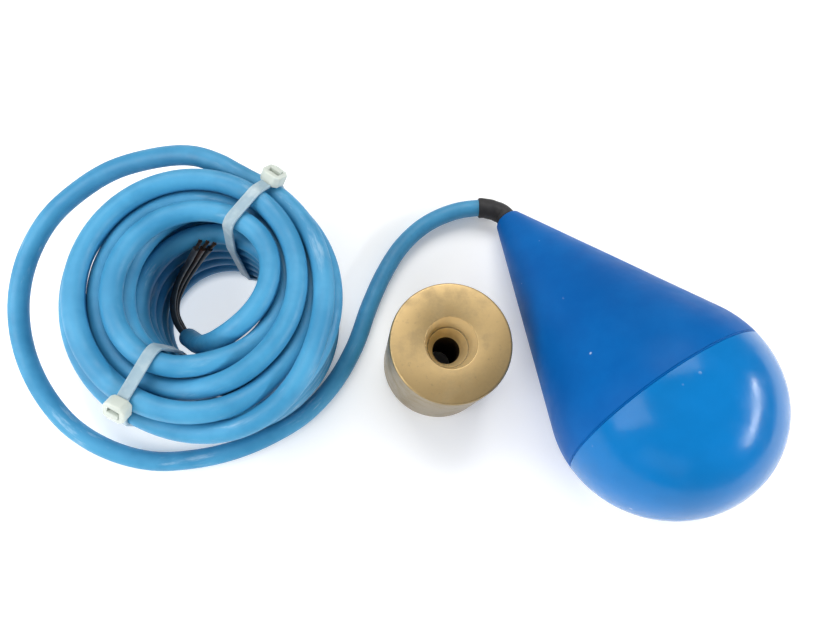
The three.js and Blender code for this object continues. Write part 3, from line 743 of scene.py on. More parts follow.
@dataclass(frozen=True)
class TurnedBrass:
    """Brass from the lathe: rings on its faces and bore, faint stains, a dull tarnish on the side that is
    darkened further as painted shade, a lighter copy of the brass in the bore as painted light, and painted
    shade in the hole and in the crease at the bore's step.
    """

    name: str
    bright: Triple = (0.52, 0.37, 0.175)
    tarnish_and_shade: Triple = (0.24, 0.195, 0.12)
    bore_painted_light: Triple = (0.92, 0.74, 0.42)
    painted_shade: Triple = (0.02, 0.012, 0.006)
    ring_pitch: float = 0.42 * MM
    side_from: float = 23.5 * MM
    side: float = 23.75 * MM
    face_from: float = 10.4 * MM
    mouth: float = 10.2 * MM
    bore: float = 10.0 * MM
    step: float = 8.15 * MM
    step_reach: float = 0.3 * MM
    step_heart: float = 0.1 * MM
    hole_from: float = 5.65 * MM
    hole: float = 5.45 * MM

    def build(self) -> Material:
        """Make the brass's material.

        Returns:
            The material.
        """
        bench = Bench(self.name)
        place = bench.coordinates("Object")
        parts = bench.node("SeparateXYZ", Vector=place)
        x, y, z = (parts.outputs[axis] for axis in "XYZ")
        squares = bench.maths("ADD", bench.maths("MULTIPLY", x, x), bench.maths("MULTIPLY", y, y))
        radius = bench.maths("SQRT", squares)
        run = bench.maths("ADD", radius, z)
        rings = bench.node("CombineXYZ", X=bench.maths("DIVIDE", run, self.ring_pitch)).outputs["Vector"]
        cuts = bench.noise(rings, 1.0, 3.0, 0.7)
        stains = bench.ramp(bench.noise(place, 95.0, 5.0, 0.65), 0.42, 0.72)
        specks = bench.ramp(bench.noise(place, 600.0, 3.0), 0.6, 0.74)
        dull_and_shade = bench.maths("MULTIPLY", stains, 0.4)
        # the side's dull colour is partly real tarnish and partly painted shade on the weight's side
        for spread, share in ((bench.ramp(radius, self.side_from, self.side), 0.8), (specks, 0.3)):
            dull_and_shade = bench.maths("MAXIMUM", dull_and_shade, bench.maths("MULTIPLY", spread, share))
        skin_colour = bench.mix(dull_and_shade, self.bright, self.tarnish_and_shade)
        # painted light: the bore takes a lighter copy of the brass that stands in for its lit taper
        colour = bench.mix(bench.ramp(radius, self.face_from, self.bore), skin_colour, self.bore_painted_light)
        # painted shade: a dark ring in the crease at the bore's step
        off_step = bench.maths("ABSOLUTE", bench.maths("SUBTRACT", radius, self.step))
        step_shade = bench.maths("MULTIPLY", bench.ramp(off_step, self.step_reach, self.step_heart), 0.8)
        # painted shade: the narrow hole is darkened too, and this shade is mixed over the colour at the end
        painted_shade_mask = bench.maths("MAXIMUM", step_shade, bench.ramp(radius, self.hole_from, self.hole))
        unshaded = bench.maths("SUBTRACT", 1.0, painted_shade_mask)
        metal = bench.maths("MULTIPLY", unshaded, bench.ramp(radius, self.mouth, self.face_from, 0.55, 0.78))
        worn = bench.maths("ADD", cuts, bench.maths("MULTIPLY", stains, 0.5))
        rough = bench.maths("MAXIMUM", bench.ramp(worn, 0.3, 1.2, 0.36, 0.58), painted_shade_mask)
        normal = bench.bump(cuts, 0.03 * MM, 0.8, bench.bump(stains, 0.02 * MM, 0.3))
        return bench.finish(
            Base_Color=bench.mix(painted_shade_mask, colour, self.painted_shade), Roughness=rough, Normal=normal,
            Metallic=metal, Anisotropic=0.4, Specular_IOR_Level=0.4,
        )


@dataclass(frozen=True)
class PaleFloor:
    """The pale floor's faint glow, with a painted pool of light where it glows more in the coil's hollow, and
    painted shade under the counterweight's bore, where the glow is off.
    """

    shade: Vector
    hollow: Vector
    tone: float = 0.93
    glow: float = 0.2
    shade_reach: tuple[float, float] = (6.0 * MM, 9.0 * MM)
    hollow_reach: tuple[float, float] = (23.0 * MM, 27.6 * MM)
    hollow_glow: float = 0.5

    def build(self) -> Material:
        """Make the floor's material.

        Returns:
            The material.
        """
        bench = Bench("pale_floor")
        place = bench.coordinates("Object")
        warm = (self.tone, self.tone, self.tone * 0.998)
        cool = (self.tone * 0.994, self.tone * 0.996, self.tone)
        colour = bench.mix(bench.mottle(place, 3.0, 2.0), warm, cool)
        # painted shade: the floor's glow is off round the counterweight's axis, so the floor seen through its
        # bore stays dark
        glow = bench.ramp(bench.distance(place, self.shade), *self.shade_reach, 0.0, self.glow)
        # painted light: a brighter glowing pool of light on the floor in the coil's hollow
        painted_hollow_light = bench.ramp(bench.distance(place, self.hollow), *self.hollow_reach, self.hollow_glow, 0.0)
        return bench.finish(
            Base_Color=colour, Roughness=0.7, Specular_IOR_Level=0.1,
            Emission_Color=colour, Emission_Strength=bench.maths("ADD", glow, painted_hollow_light),
        )


def all_finishes() -> dict[Slot, Material]:
    """Make one material for each of the record's slots.

    Returns:
        The materials by slot.
    """
    makers = {
        Slot.CABLE: SheathRubber(
            "sheath_blue", (0.034, 0.226, 0.42), (0.058, 0.296, 0.515), (0.56, 0.7, 0.8)
        ),
        Slot.CONE: MouldedPlastic(
            "cone_blue", (0.001, 0.09, 0.34), (0.002, 0.12, 0.41), 0.42, dings=0.9, specular=0.07
        ),
        Slot.DOME: MouldedPlastic(
            "dome_blue", (0.002, 0.15, 0.43), (0.003, 0.175, 0.5), 0.2, dings=0.35, specular=0.2
        ),
        Slot.RUBBER: PlainMoulding(
            "black_rubber", (0.01, 0.0095, 0.0105), (0.022, 0.021, 0.023), 0.62, 900.0, 0.12 * MM
        ),
        Slot.WHITE: PlainMoulding("white_plastic", (0.66, 0.65, 0.6), (0.76, 0.75, 0.7), 0.42),
        Slot.NYLON: NaturalNylon("milky_nylon"),
        Slot.STEEL: PlainMoulding(
            "bright_steel", (0.5, 0.51, 0.53), (0.62, 0.63, 0.65), 0.24, 1200.0, 0.01 * MM, metallic=1.0
        ),
        Slot.GREY: PlainMoulding("grey_plastic", (0.14, 0.145, 0.15), (0.2, 0.205, 0.21), 0.48),
        Slot.BLACK: PlainMoulding("black_plastic", (0.012, 0.012, 0.013), (0.03, 0.03, 0.032), 0.42),
        Slot.COPPER: PlainMoulding(
            "bare_copper", (0.1, 0.06, 0.04), (0.2, 0.12, 0.07), 0.4, 1500.0, 0.02 * MM, metallic=1.0
        ),
        Slot.CORE_BLACK: PlainMoulding("core_black", (0.012, 0.012, 0.014), (0.025, 0.025, 0.028), 0.45),
        Slot.CORE_BROWN: PlainMoulding("core_brown", (0.035, 0.014, 0.008), (0.06, 0.024, 0.012), 0.45),
        # the grey core's grey is darkened nearly to black as painted shade for its place in the coil's hollow
        Slot.CORE_GREY: PlainMoulding("core_grey", (0.03, 0.031, 0.034), (0.055, 0.056, 0.06), 0.45),
        Slot.BRASS: TurnedBrass("turned_brass"),
    }
    return {slot: maker.build() for slot, maker in makers.items()}


@dataclass
class Cable:
    """The one unbroken cable: free end, coil, lead and boot, with its ties and bared cores."""

    finishes: dict[Slot, Material]
    radius: float = 3.75 * MM
    plump: float = 0.12 * MM
    bore_turn: float = 26.8 * MM
    pitch: float = 8.1 * MM
    hold_off: float = 0.35 * MM
    strap_thickness: float = 1.2 * MM
    fit: float = 0.3 * MM
    steps_per_turn: int = 24
    free_end_steps: int = 8
    first_angle: float = math.pi / 3
    sides: int = 22
    spacing: float = 2.3 * MM
    boot_length: float = 16.0 * MM
    boot_wall: float = 0.6 * MM
    boot_lip: float = 0.45 * MM
    boot_wrinkle: float = 0.06 * MM
    boot_wrinkle_pitch: float = 0.7 * MM
    boot_sides: int = 40
    boot_spacing: float = 0.5 * MM
    core_spacing: float = 1.2 * MM
    core_radius: float = 1.15 * MM
    core_drift: float = 0.25 * MM
    core_sides: int = 18
    wire_radius: float = 0.2 * MM
    wire_length: float = 6.2 * MM
    wire_stagger: float = 0.25 * MM
    wire_root: float = 0.5 * MM
    wire_twist: float = 2.2
    wire_fray: float = 0.5
    wire_steps: int = 15
    wire_sides: int = 8
    wires_round: int = 6
    lay: tuple[Triple, ...] = (
        (-0.55, -1.44, 2.3), (-0.5, -1.5, 2.9), (-0.44, -1.42, 4.4), (-0.38, -1.27, 5.7),
        (-0.33, -1.24, 6.43), (-0.28, -1.1, 6.84), (-0.22, -0.89, 7.06), (-0.167, -0.56, 7.08),
        (-0.125, -0.32, 7.09), (-0.083, -0.03, 7.06), (-0.042, 0.13, 7.02), (0, 0.24, 7.02),
        (0.083, 0.34, 7.01), (0.167, 0.43, 7), (0.25, 0.46, 7), (0.417, 0.45, 7), (0.5, 0.38, 7),
        (0.542, 0.23, 7.02), (0.583, 0, 7.03), (0.625, -0.27, 6.73), (0.667, -0.18, 6.46),
        (0.708, -0.1, 6.42), (0.75, -0.12, 6.41), (0.792, -0.06, 6.38), (0.833, 0.09, 6.31),
        (0.875, 0.3, 6.26), (0.917, 0.46, 6.14), (0.958, 0.62, 6.15), (1, 0.8, 6.2), (1.042, 0.99, 6.28),
        (1.083, 1.09, 6.35), (1.167, 1.26, 6.44), (1.25, 1.26, 6.42), (1.333, 1.22, 6.36),
        (1.417, 1.19, 6.33), (1.5, 1.18, 6.36), (1.542, 1.08, 6.38), (1.583, 0.96, 6.49),
        (1.625, 0.9, 6.82), (1.667, 0.76, 7.05), (1.708, 0.63, 7.04), (1.75, 0.65, 7.04),
        (1.792, 0.68, 7.08), (1.833, 0.74, 7.08), (1.875, 0.87, 7.05), (1.917, 0.98, 7), (1.958, 1.19, 7),
        (2, 1.44, 7.02), (2.042, 1.68, 7.02), (2.083, 1.85, 7.01), (2.125, 2, 7), (2.167, 2.08, 7.01),
        (2.25, 2.07, 7.01), (2.333, 1.99, 7), (2.417, 1.95, 7), (2.5, 1.98, 7), (2.542, 2.02, 7.01),
        (2.583, 2.02, 6.99), (2.625, 1.98, 6.71), (2.667, 1.71, 6.48), (2.708, 1.47, 6.42),
        (2.75, 1.39, 6.36), (2.792, 1.31, 6.28), (2.833, 1.28, 6.19), (2.875, 1.35, 6.13),
        (2.917, 1.52, 6.02), (2.958, 1.56, 5.6), (3, 1.51, 5.4), (3.083, 1.31, 5.34), (3.167, 0.99, 5.42),
        (3.25, 0.55, 5.69), (3.333, 0.26, 5.91), (3.417, 0.2, 5.95), (3.5, 0.15, 5.9), (3.583, 0.1, 5.75),
        (3.667, 0.06, 5.5), (3.75, 0, 5.42), (3.833, -0.01, 5.32), (4, 0, 5.19), (4.083, 0, 5.09),
        (4.167, -0.05, 5.03), (4.25, -0.04, 4.85), (4.333, 0, 4.88), (4.417, 0, 4.77), (8.7, 0, 0.3),
        (8.9, 0.12, 0.1), (9, 0.26, 0), (9.1, 0.43, 0), (9.2, 0.62, 0), (9.3, 0.78, 0), (9.4, 0.86, 0),
        (9.6, 1, 0), (9.9, 1.2, 0), (10, 1.36, 0), (10.1, 1.52, 0), (10.2, 1.69, 0), (10.3, 1.84, 0.1),
        (10.4, 1.94, 0.2), (10.5, 2, 0.3), (14, 2, 3.9), (14.5, 2.05, 4.45), (14.75, 2.15, 4.8),
        (14.917, 2.35, 5.1), (15, 2.47, 5.24), (15.042, 2.48, 5.25), (15.083, 2.48, 5.39),
        (15.125, 2.5, 5.7), (15.167, 2.5, 5.95), (15.25, 2.5, 6.08), (15.417, 2.42, 6.1),
        (15.5, 2.46, 6.1), (15.583, 2.68, 6.07), (15.625, 2.96, 6.15), (15.667, 2.87, 6.61),
        (15.708, 2.53, 6.97), (15.75, 2.18, 7.01), (15.792, 1.98, 7), (15.833, 1.91, 7.01),
        (15.875, 1.91, 6.98), (15.917, 1.98, 6.81), (15.938, 2.04, 6.64), (15.958, 2.11, 6.48),
        (16, 2.25, 6.42), (16.042, 2.46, 6.39),
    )
    lead_route: tuple[Triple, ...] = (
        (-7.6, 54.5, 55.4), (-18.7, 55.7, 52.6), (-39.8, 52.3, 47), (-54.7, 45.2, 41.5), (-67.5, 34.5, 36),
        (-75.7, 19.3, 31), (-78.7, 2.2, 26), (-76.5, -15.1, 20.5), (-69.5, -30.8, 15.5), (-58.3, -44.2, 11),
        (-43.4, -53, 7.5), (-27.2, -57, 5), (-10.9, -56.1, 4.2), (4.4, -52.6, 4), (19.4, -46.2, 4),
        (33.2, -37.3, 4), (45.1, -23.8, 4), (53.6, -7.8, 4), (60, 11.5, 4), (66.6, 27.3, 4),
        (74.3, 40.1, 4.2), (84.9, 50.4, 5), (96.6, 56.4, 6), (106, 58.6, 6.8), (113.4, 58.8, 7.3),
    )
    core_route: tuple[Triple, ...] = (
        (-19.4, -0.4, 19.6), (-19.4, 5.4, 23.2), (-17, 11, 27.5), (-13, 15.2, 34), (-8, 18.1, 42),
        (-3.8, 19.5, 49.5),
    )
    pieces: list[Object] = field(default_factory=list)

    def lay_at(self, turn: float, column: int) -> float:
        """Read one column of the lay at a turn.

        Args:
            turn: turns counted from the top of the coil.
            column: 1 for the column of turns, 2 for the layer.

        Returns:
            The count there.
        """
        row = 1
        while row < len(self.lay) - 1 and self.lay[row][0] < turn:
            row += 1
        before, after = self.lay[row - 1], self.lay[row]
        along = (turn - before[0]) / (after[0] - before[0])
        return before[column] + (after[column] - before[column]) * along

    def coil_points(self) -> list[Vector]:
        """Work out the coil's centre line, with a straight run at each end.

        Returns:
            The centre line's points.
        """
        first = math.ceil(self.lay[0][0] * self.steps_per_turn)
        last = math.floor(self.lay[-1][0] * self.steps_per_turn)
        turns = [step / self.steps_per_turn for step in range(first, last + 1)]
        columns, layers = ([self.lay_at(turn, column) for turn in turns] for column in (1, 2))
        for values in (columns, layers):
            for _ in range(2):
                values[1:-1] = [(a + 2 * b + c) / 4 for a, b, c in zip(values, values[1:], values[2:])]
        floor = self.radius + self.hold_off + self.strap_thickness
        points = []
        for turn, column, layer in zip(turns, columns, layers):
            angle = self.first_angle + 2 * math.pi * turn
            reach = self.bore_turn + self.pitch * column
            height = floor + self.pitch * layer
            points.append(LAYOUT + Vector((reach * math.cos(angle), reach * math.sin(angle), height)))
        start = points[0] + (points[0] - points[1]).normalized() * 2 * self.radius
        end = points[-1] + (points[-1] - points[-2]).normalized() * 2 * self.radius
        return [start, *points, end]

    def lead_points(self, coil: Sequence[Vector], neck: "FloatFrame") -> list[Vector]:
        """List the lead's route from the coil's end to the float's neck.

        Args:
            coil: the coil's centre line.
            neck: the float's own frame.

        Returns:
            The route's points.
        """
        way = (coil[-1] - coil[-2]).normalized()
        hand = [on_plan(*spot) for spot in self.lead_route]
        ends = [neck.station(neck.reach + self.fit + self.radius), neck.station(neck.reach + self.fit)]
        return [coil[-1] + way * (self.fit + self.radius), *hand, *ends]

    def build(self, neck: "FloatFrame") -> None:
        """Make the cable and all that is on it.

        Args:
            neck: the float's own frame, which the cable runs into.
        """
        coil = self.coil_points()
        path = smooth_path([*coil, *self.lead_points(coil, neck)], self.spacing)
        cable = place_mesh("cable", tube("cable", path, lambda i: self.radius + self.plump, self.sides))
        dress(cable, self.finishes, Slot.CABLE, Body.CABLE)
        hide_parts("cable_coil", "cable_lead")
        self.boot(path)
        self.cores(coil)
        for tie in (UPPER_TIE, LOWER_TIE):
            self.carry(tie.build(self, coil), Slot.NYLON, tie.node)

    def carry(self, piece: Object, slot: Slot, node: str) -> None:
        """Set a piece on the cable in the place of a CAD node.

        Args:
            piece: the piece.
            slot: its material slot.
            node: the CAD node.
        """
        dress(piece, self.finishes, slot, Body.CABLE)
        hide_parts(node)
        self.pieces.append(piece)

    def boot(self, path: Sequence[Vector]) -> None:
        """Make the black sleeve round the lead's last stretch.

        Args:
            path: the cable's whole centre line, which ends at the neck.
        """
        spots = [path[-1]]
        for before, after in zip(reversed(path[:-1]), reversed(path)):
            if lengths_along([*spots, before])[-1] > self.boot_length:
                break
            spots.append(before)
        fine = smooth_path(spots[::-1], self.boot_spacing)
        run = lengths_along(fine)
        lip = self.boot_lip

        def radius(i: int) -> float:
            """Round both ends of the sleeve over and let it wrinkle a little in the bend.

            Args:
                i: the number of the point on the sleeve's path.

            Returns:
                The sleeve's radius there.
            """
            edge = min(run[i], run[-1] - run[i])
            rounding = lip - math.sqrt(max(0.0, lip**2 - max(0.0, lip - edge) ** 2))
            wrinkle = self.boot_wrinkle * math.sin(run[i] / self.boot_wrinkle_pitch)
            return self.radius + self.fit + self.boot_wall - rounding + wrinkle

        mesh = tube("cable_sleeve", fine, radius, self.boot_sides)
        self.carry(place_mesh("cable_sleeve", mesh, sharp=50), Slot.RUBBER, "cable_boot")

    def cores(self, coil: Sequence[Vector]) -> None:
        """Make the three bared cores and their twisted strands at the cable's free end.

        Args:
            coil: the coil's centre line, which starts at the free end.
        """
        start = coil[0]
        ahead = (start - coil[1]).normalized() * self.radius
        hand = [on_plan(*spot) for spot in self.core_route]
        middle = smooth_path([start - ahead, start + ahead, *hand], self.core_spacing)
        step = 2 * self.core_radius + self.fit
        names = (("black", Slot.CORE_BLACK), ("brown", Slot.CORE_BROWN), ("grey", Slot.CORE_GREY))
        for side, (name, slot) in zip((1, 0, -1), names):
            line = []
            for i, (spot, (way, _, _)) in enumerate(zip(middle, carried_on(middle))):
                inward = Vector((LAYOUT.x - spot.x, LAYOUT.y - spot.y, 0.0))
                across = way.cross(inward).normalized()
                drift = self.core_drift * math.sin(i / 5 + side)
                line.append(spot + across * side * step + inward.normalized() * drift)
            mesh = tube(f"bared_core_{name}", line, lambda i: self.core_radius, self.core_sides)
            self.carry(place_mesh(f"bared_core_{name}", mesh), slot, f"end_core_{name}")
            self.strand(name, line[-1], (line[-1] - line[-2]).normalized())

    def strand(self, name: str, foot: Vector, way: Vector) -> None:
        """Make the twisted wires that stand out of one core.

        Args:
            name: the core's colour.
            foot: where the wires leave the core.
            way: the way that they run.
        """
        side = way.orthogonal().normalized()
        over = way.cross(side)
        wires = []
        for k in range(self.wires_round + 1):
            ring = 0.0 if k == self.wires_round else 2 * self.wire_radius
            reach = self.wire_length - self.wire_stagger * (k % 3)
            path = []
            for i in range(self.wire_steps + 1):
                along = i / self.wire_steps
                angle = 2 * math.pi * k / self.wires_round + self.wire_twist * along
                fray = ring * (1 + self.wire_fray * along**3)
                out = side * math.cos(angle) + over * math.sin(angle)
                path.append(foot - way * self.wire_root + way * along * reach + out * fray)
            wires.append(tube("wire", path, lambda i: self.wire_radius, self.wire_sides))
        piece = place_mesh(f"bared_strand_{name}", joined(f"bared_strand_{name}", wires))
        self.carry(piece, Slot.COPPER, f"end_strand_{name}")


@dataclass(frozen=True)
class Tie:
    """A cable tie drawn round the coil at one place, its strap cut flush at the head."""

    name: str
    node: str
    at_radius: float
    angle: float
    heading: float
    lean: float
    strap_width: float = 4.2 * MM
    rail: float = 0.75 * MM
    soft_edge: float = 0.25 * MM
    tooth: float = 0.14 * MM
    groove: float = 0.12 * MM
    outline_step: float = 1.0 * MM
    circle_steps: int = 72
    head: Triple = (8.0 * MM, 8.0 * MM, 4.6 * MM)
    head_sunk: float = 1.2 * MM
    head_ease: float = 0.7 * MM
    slot_rim: float = 1.1 * MM
    slot_lip: float = 0.15 * MM
    slot_depth: float = 0.9 * MM
    tail: tuple[float, float] = (1.9 * MM, 1.2 * MM)
    tail_place: tuple[float, float] = (1.3 * MM, 0.4 * MM)
    tail_cut: float = 0.35 * MM
    tail_ease: float = 0.12 * MM

    def axes(self) -> tuple[Vector, Vector, Vector]:
        """Give the tie's plane.

        Returns:
            A point of it, its level way outward and its normal.
        """
        place = LAYOUT + Vector((math.cos(self.angle), math.sin(self.angle), 0.0)) * self.at_radius
        along = Vector((math.cos(self.heading), math.sin(self.heading), 0.0))
        return place, along, Vector((along.y, -along.x, 0.0))

    def held(self, cable: Cable, coil: Sequence[Vector]) -> list[Triple]:
        """Find where the cable passes through the strap, past the free end that climbs inside it.

        Args:
            cable: the cable that it holds.
            coil: the coil's centre line.

        Returns:
            Place along the plane, height and half width of each crossing.
        """
        place, along, normal = self.axes()
        found = []
        for shift in (-self.strap_width / 2, 0.0, self.strap_width / 2):
            for near, far in zip(coil[cable.free_end_steps:], coil[cable.free_end_steps + 1:]):
                a, b = ((spot - place).dot(normal) - shift for spot in (near, far))
                if a * b > 0:
                    continue
                spot = near.lerp(far, a / (a - b))
                if (spot - place).dot(along) > -self.at_radius:
                    cosine = abs(b - a) / (far - near).length
                    found.append(((spot - place).dot(along), spot.z, cable.radius / cosine))
        return found

    def outline(self, held: Sequence[Triple], rise: float, margin: float) -> list[Vector]:
        """Draw the strap's outline round the crossings, as a smooth closed line of even steps.

        Args:
            held: the crossings.
            rise: the cable's radius, upward.
            margin: how far the outline stands off the cable.

        Returns:
            The outline's points as (along, height, 0).
        """
        spots = []
        for across, height, half in held:
            for k in range(self.circle_steps):
                angle = 2 * math.pi * k / self.circle_steps
                wide, tall = (half + margin) * math.cos(angle), (rise + margin) * math.sin(angle)
                spots.append((across + wide, height + tall))
        hull = self.hull(spots)
        even = []
        for (x0, y0), (x1, y1) in zip(hull, hull[1:] + hull[:1]):
            steps = max(1, round(math.hypot(x1 - x0, y1 - y0) / self.outline_step))
            for i in range(steps):
                even.append(Vector((x0 + (x1 - x0) * i / steps, y0 + (y1 - y0) * i / steps, 0.0)))
        return even

    @staticmethod
    def hull(spots: Iterable[tuple[float, float]]) -> Outline:
        """Find the convex outline of points.

        Args:
            spots: the points.

        Returns:
            The outline's corners, counter-clockwise.
        """
        ordered = sorted(set(spots))

        def chain(row: Outline) -> Outline:
            """Keep the points of one side that turn left.

            Args:
                row: the points in order.

            Returns:
                The kept points but the last.
            """
            kept: Outline = []
            for p in row:
                while len(kept) > 1:
                    (ax, ay), (bx, by) = kept[-2:]
                    if (bx - ax) * (p[1] - ay) - (by - ay) * (p[0] - ax) > 0:
                        break
                    kept.pop()
                kept.append(p)
            return kept[:-1]

        return chain(ordered) + chain(ordered[::-1])

    def strap(self, middle: Sequence[Vector], thickness: float) -> Mesh:
        """Sweep the strap's section, with its raised rails and inner teeth, round its middle line.

        Args:
            middle: the strap's middle line in its plane.
            thickness: the strap's thickness.

        Returns:
            The strap's mesh in the plane's own axes.
        """
        half, thick, soft = self.strap_width / 2, thickness / 2, self.soft_edge
        rail = half - self.rail
        edge = [(half, thick - soft), (half - soft, thick), (rail, thick)]
        points = []
        for i, spot in enumerate(middle):
            ahead = (middle[(i + 1) % len(middle)] - middle[i - 1]).normalized()
            out = Vector((ahead.y, -ahead.x, 0.0))
            inner = [*edge, (rail - soft, thick - (self.tooth if i % 2 else 0.0))]
            outer = [*edge, (rail - soft, thick - self.groove)]
            section = [(-side, -lift) for side, lift in inner]
            section += [(side, -lift) for side, lift in reversed(inner)]
            section += outer
            section += [(-side, lift) for side, lift in reversed(outer)]
            points.extend(spot + out * lift + Vector((0.0, 0.0, side)) for side, lift in section)
        return mesh_from("strap", points, skin(len(middle), len(section), closed=True))

    def head_mesh(self) -> Mesh:
        """Make the head: a cut-cornered block with a slot, its pawl and the strap's cut tail.

        Returns:
            The head's mesh, its seat at no height and X pointing outward.
        """
        along, wide, thick = self.head
        work = bmesh.new()
        corner = along / 5
        ring = []
        for sx, sy in ((-1, -1), (1, -1), (1, 1), (-1, 1)):
            first = (sx * along / 2, sy * (wide / 2 - corner))
            second = (sx * (along / 2 - corner), sy * wide / 2)
            ring.extend([first, second] if sx * sy > 0 else [second, first])
        face = work.faces.new([work.verts.new((-self.head_sunk, x, y)) for x, y in ring])
        grown = bmesh.ops.extrude_face_region(work, geom=[face])
        top = [item for item in grown["geom"] if isinstance(item, bmesh.types.BMVert)]
        bmesh.ops.translate(work, verts=top, vec=(thick, 0.0, 0.0))
        bmesh.ops.recalc_face_normals(work, faces=work.faces)
        bmesh.ops.bevel(
            work, geom=list(work.edges), offset=self.head_ease, segments=3, profile=0.6, affect="EDGES"
        )
        crown = max(work.faces, key=lambda item: (round(item.calc_center_median().x, 6), item.calc_area()))
        for rim, depth in ((self.slot_rim, 0.0), (self.slot_lip, -self.slot_depth)):
            bmesh.ops.inset_individual(work, faces=[crown], thickness=rim, depth=depth)
        bmesh.ops.triangulate(work, faces=[item for item in work.faces if len(item.verts) > 8])
        mesh = bpy.data.meshes.new("head")
        work.to_mesh(mesh)
        work.free()
        return joined("head", [mesh, self.tail_mesh(thick)])

    def tail_mesh(self, crown: float) -> Mesh:
        """Make the strap's cut tail, a stub that stands in the head's slot.

        Args:
            crown: the height that the tail's place is measured down from.

        Returns:
            The tail's mesh in the head's axes.
        """
        work = bmesh.new()
        bmesh.ops.create_cube(work, size=1.0)
        centre = Vector((crown - self.tail_place[0], -self.tail_place[1], 0.0))
        for vertex in work.verts:
            x, y, z = vertex.co
            slope = self.tail_cut if x > 0 and y > 0 else 0.0
            stub = Vector((x * self.tail[0] - slope, y * self.tail[1], z * self.strap_width))
            vertex.co = stub + centre
        bmesh.ops.bevel(work, geom=list(work.edges), offset=self.tail_ease, segments=2, affect="EDGES")
        mesh = bpy.data.meshes.new("tail")
        work.to_mesh(mesh)
        work.free()
        return mesh

    def build(self, cable: Cable, coil: Sequence[Vector]) -> Object:
        """Make the tie round the coil.

        Args:
            cable: the cable that it holds.
            coil: the coil's centre line.

        Returns:
            The tie.
        """
        held = self.held(cable, coil)
        thick = cable.strap_thickness
        middle = self.outline(held, cable.radius, cable.hold_off + thick / 2)
        if len(middle) % 2:
            middle.pop()
        outer = self.outline(held, cable.radius, cable.hold_off + thick)
        out = Vector((math.cos(self.lean), math.sin(self.lean), 0.0))
        seat = max(outer, key=lambda spot: spot.dot(out))
        head = self.head_mesh()
        head.transform(Matrix.Translation(seat) @ Matrix.Rotation(self.lean, 4, "Z"))
        strap = self.strap(middle, thick)
        strap_points = len(strap.vertices)
        mesh = joined(self.name, [strap, head])
        share = mesh.attributes.new(THICK_SHARE, "FLOAT", "POINT")
        share.data.foreach_set("value", [float(i >= strap_points) for i in range(len(mesh.vertices))])
        place, along, normal = self.axes()
        axes = Matrix((along, Vector((0.0, 0.0, 1.0)), normal)).transposed().to_4x4()
        mesh.transform(Matrix.Translation(place) @ axes)
        return place_mesh(self.name, mesh, sharp=40)


UPPER_TIE = Tie("upper_tie", "tie_upper", 33.3 * MM, math.radians(66.8), math.radians(55), math.radians(50))
LOWER_TIE = Tie("lower_tie", "tie_lower", 34.7 * MM, math.radians(240.9), math.radians(245), math.radians(35))


@dataclass(frozen=True)
class FloatFrame:
    """The float's own axes: Z from its round end to its neck, from its sphere's centre."""

    reach: float = 107.5 * MM
    ball_station: float = 10.9 * MM

    def matrix(self) -> Matrix:
        """Work out the frame from the CAD ball and the record's joint axes.

        Returns:
            The matrix from the float's axes to the scene's.
        """
        joints = {joint["name"]: joint for joint in frame["record"]["behaviour"]["joints"]}
        up = -Vector(joints["ball_roll"]["axis"]).normalized()
        level = Vector(joints["float_tilt"]["axis"]).normalized()
        centre = middle_of("steel_ball") - up * self.ball_station
        axes = Matrix((level.cross(up), level, up)).transposed().to_4x4()
        return Matrix.Translation(centre) @ axes

    def station(self, height: float) -> Vector:
        """Give the point on the float's axis at a height."""
        return self.matrix() @ Vector((0.0, 0.0, height))


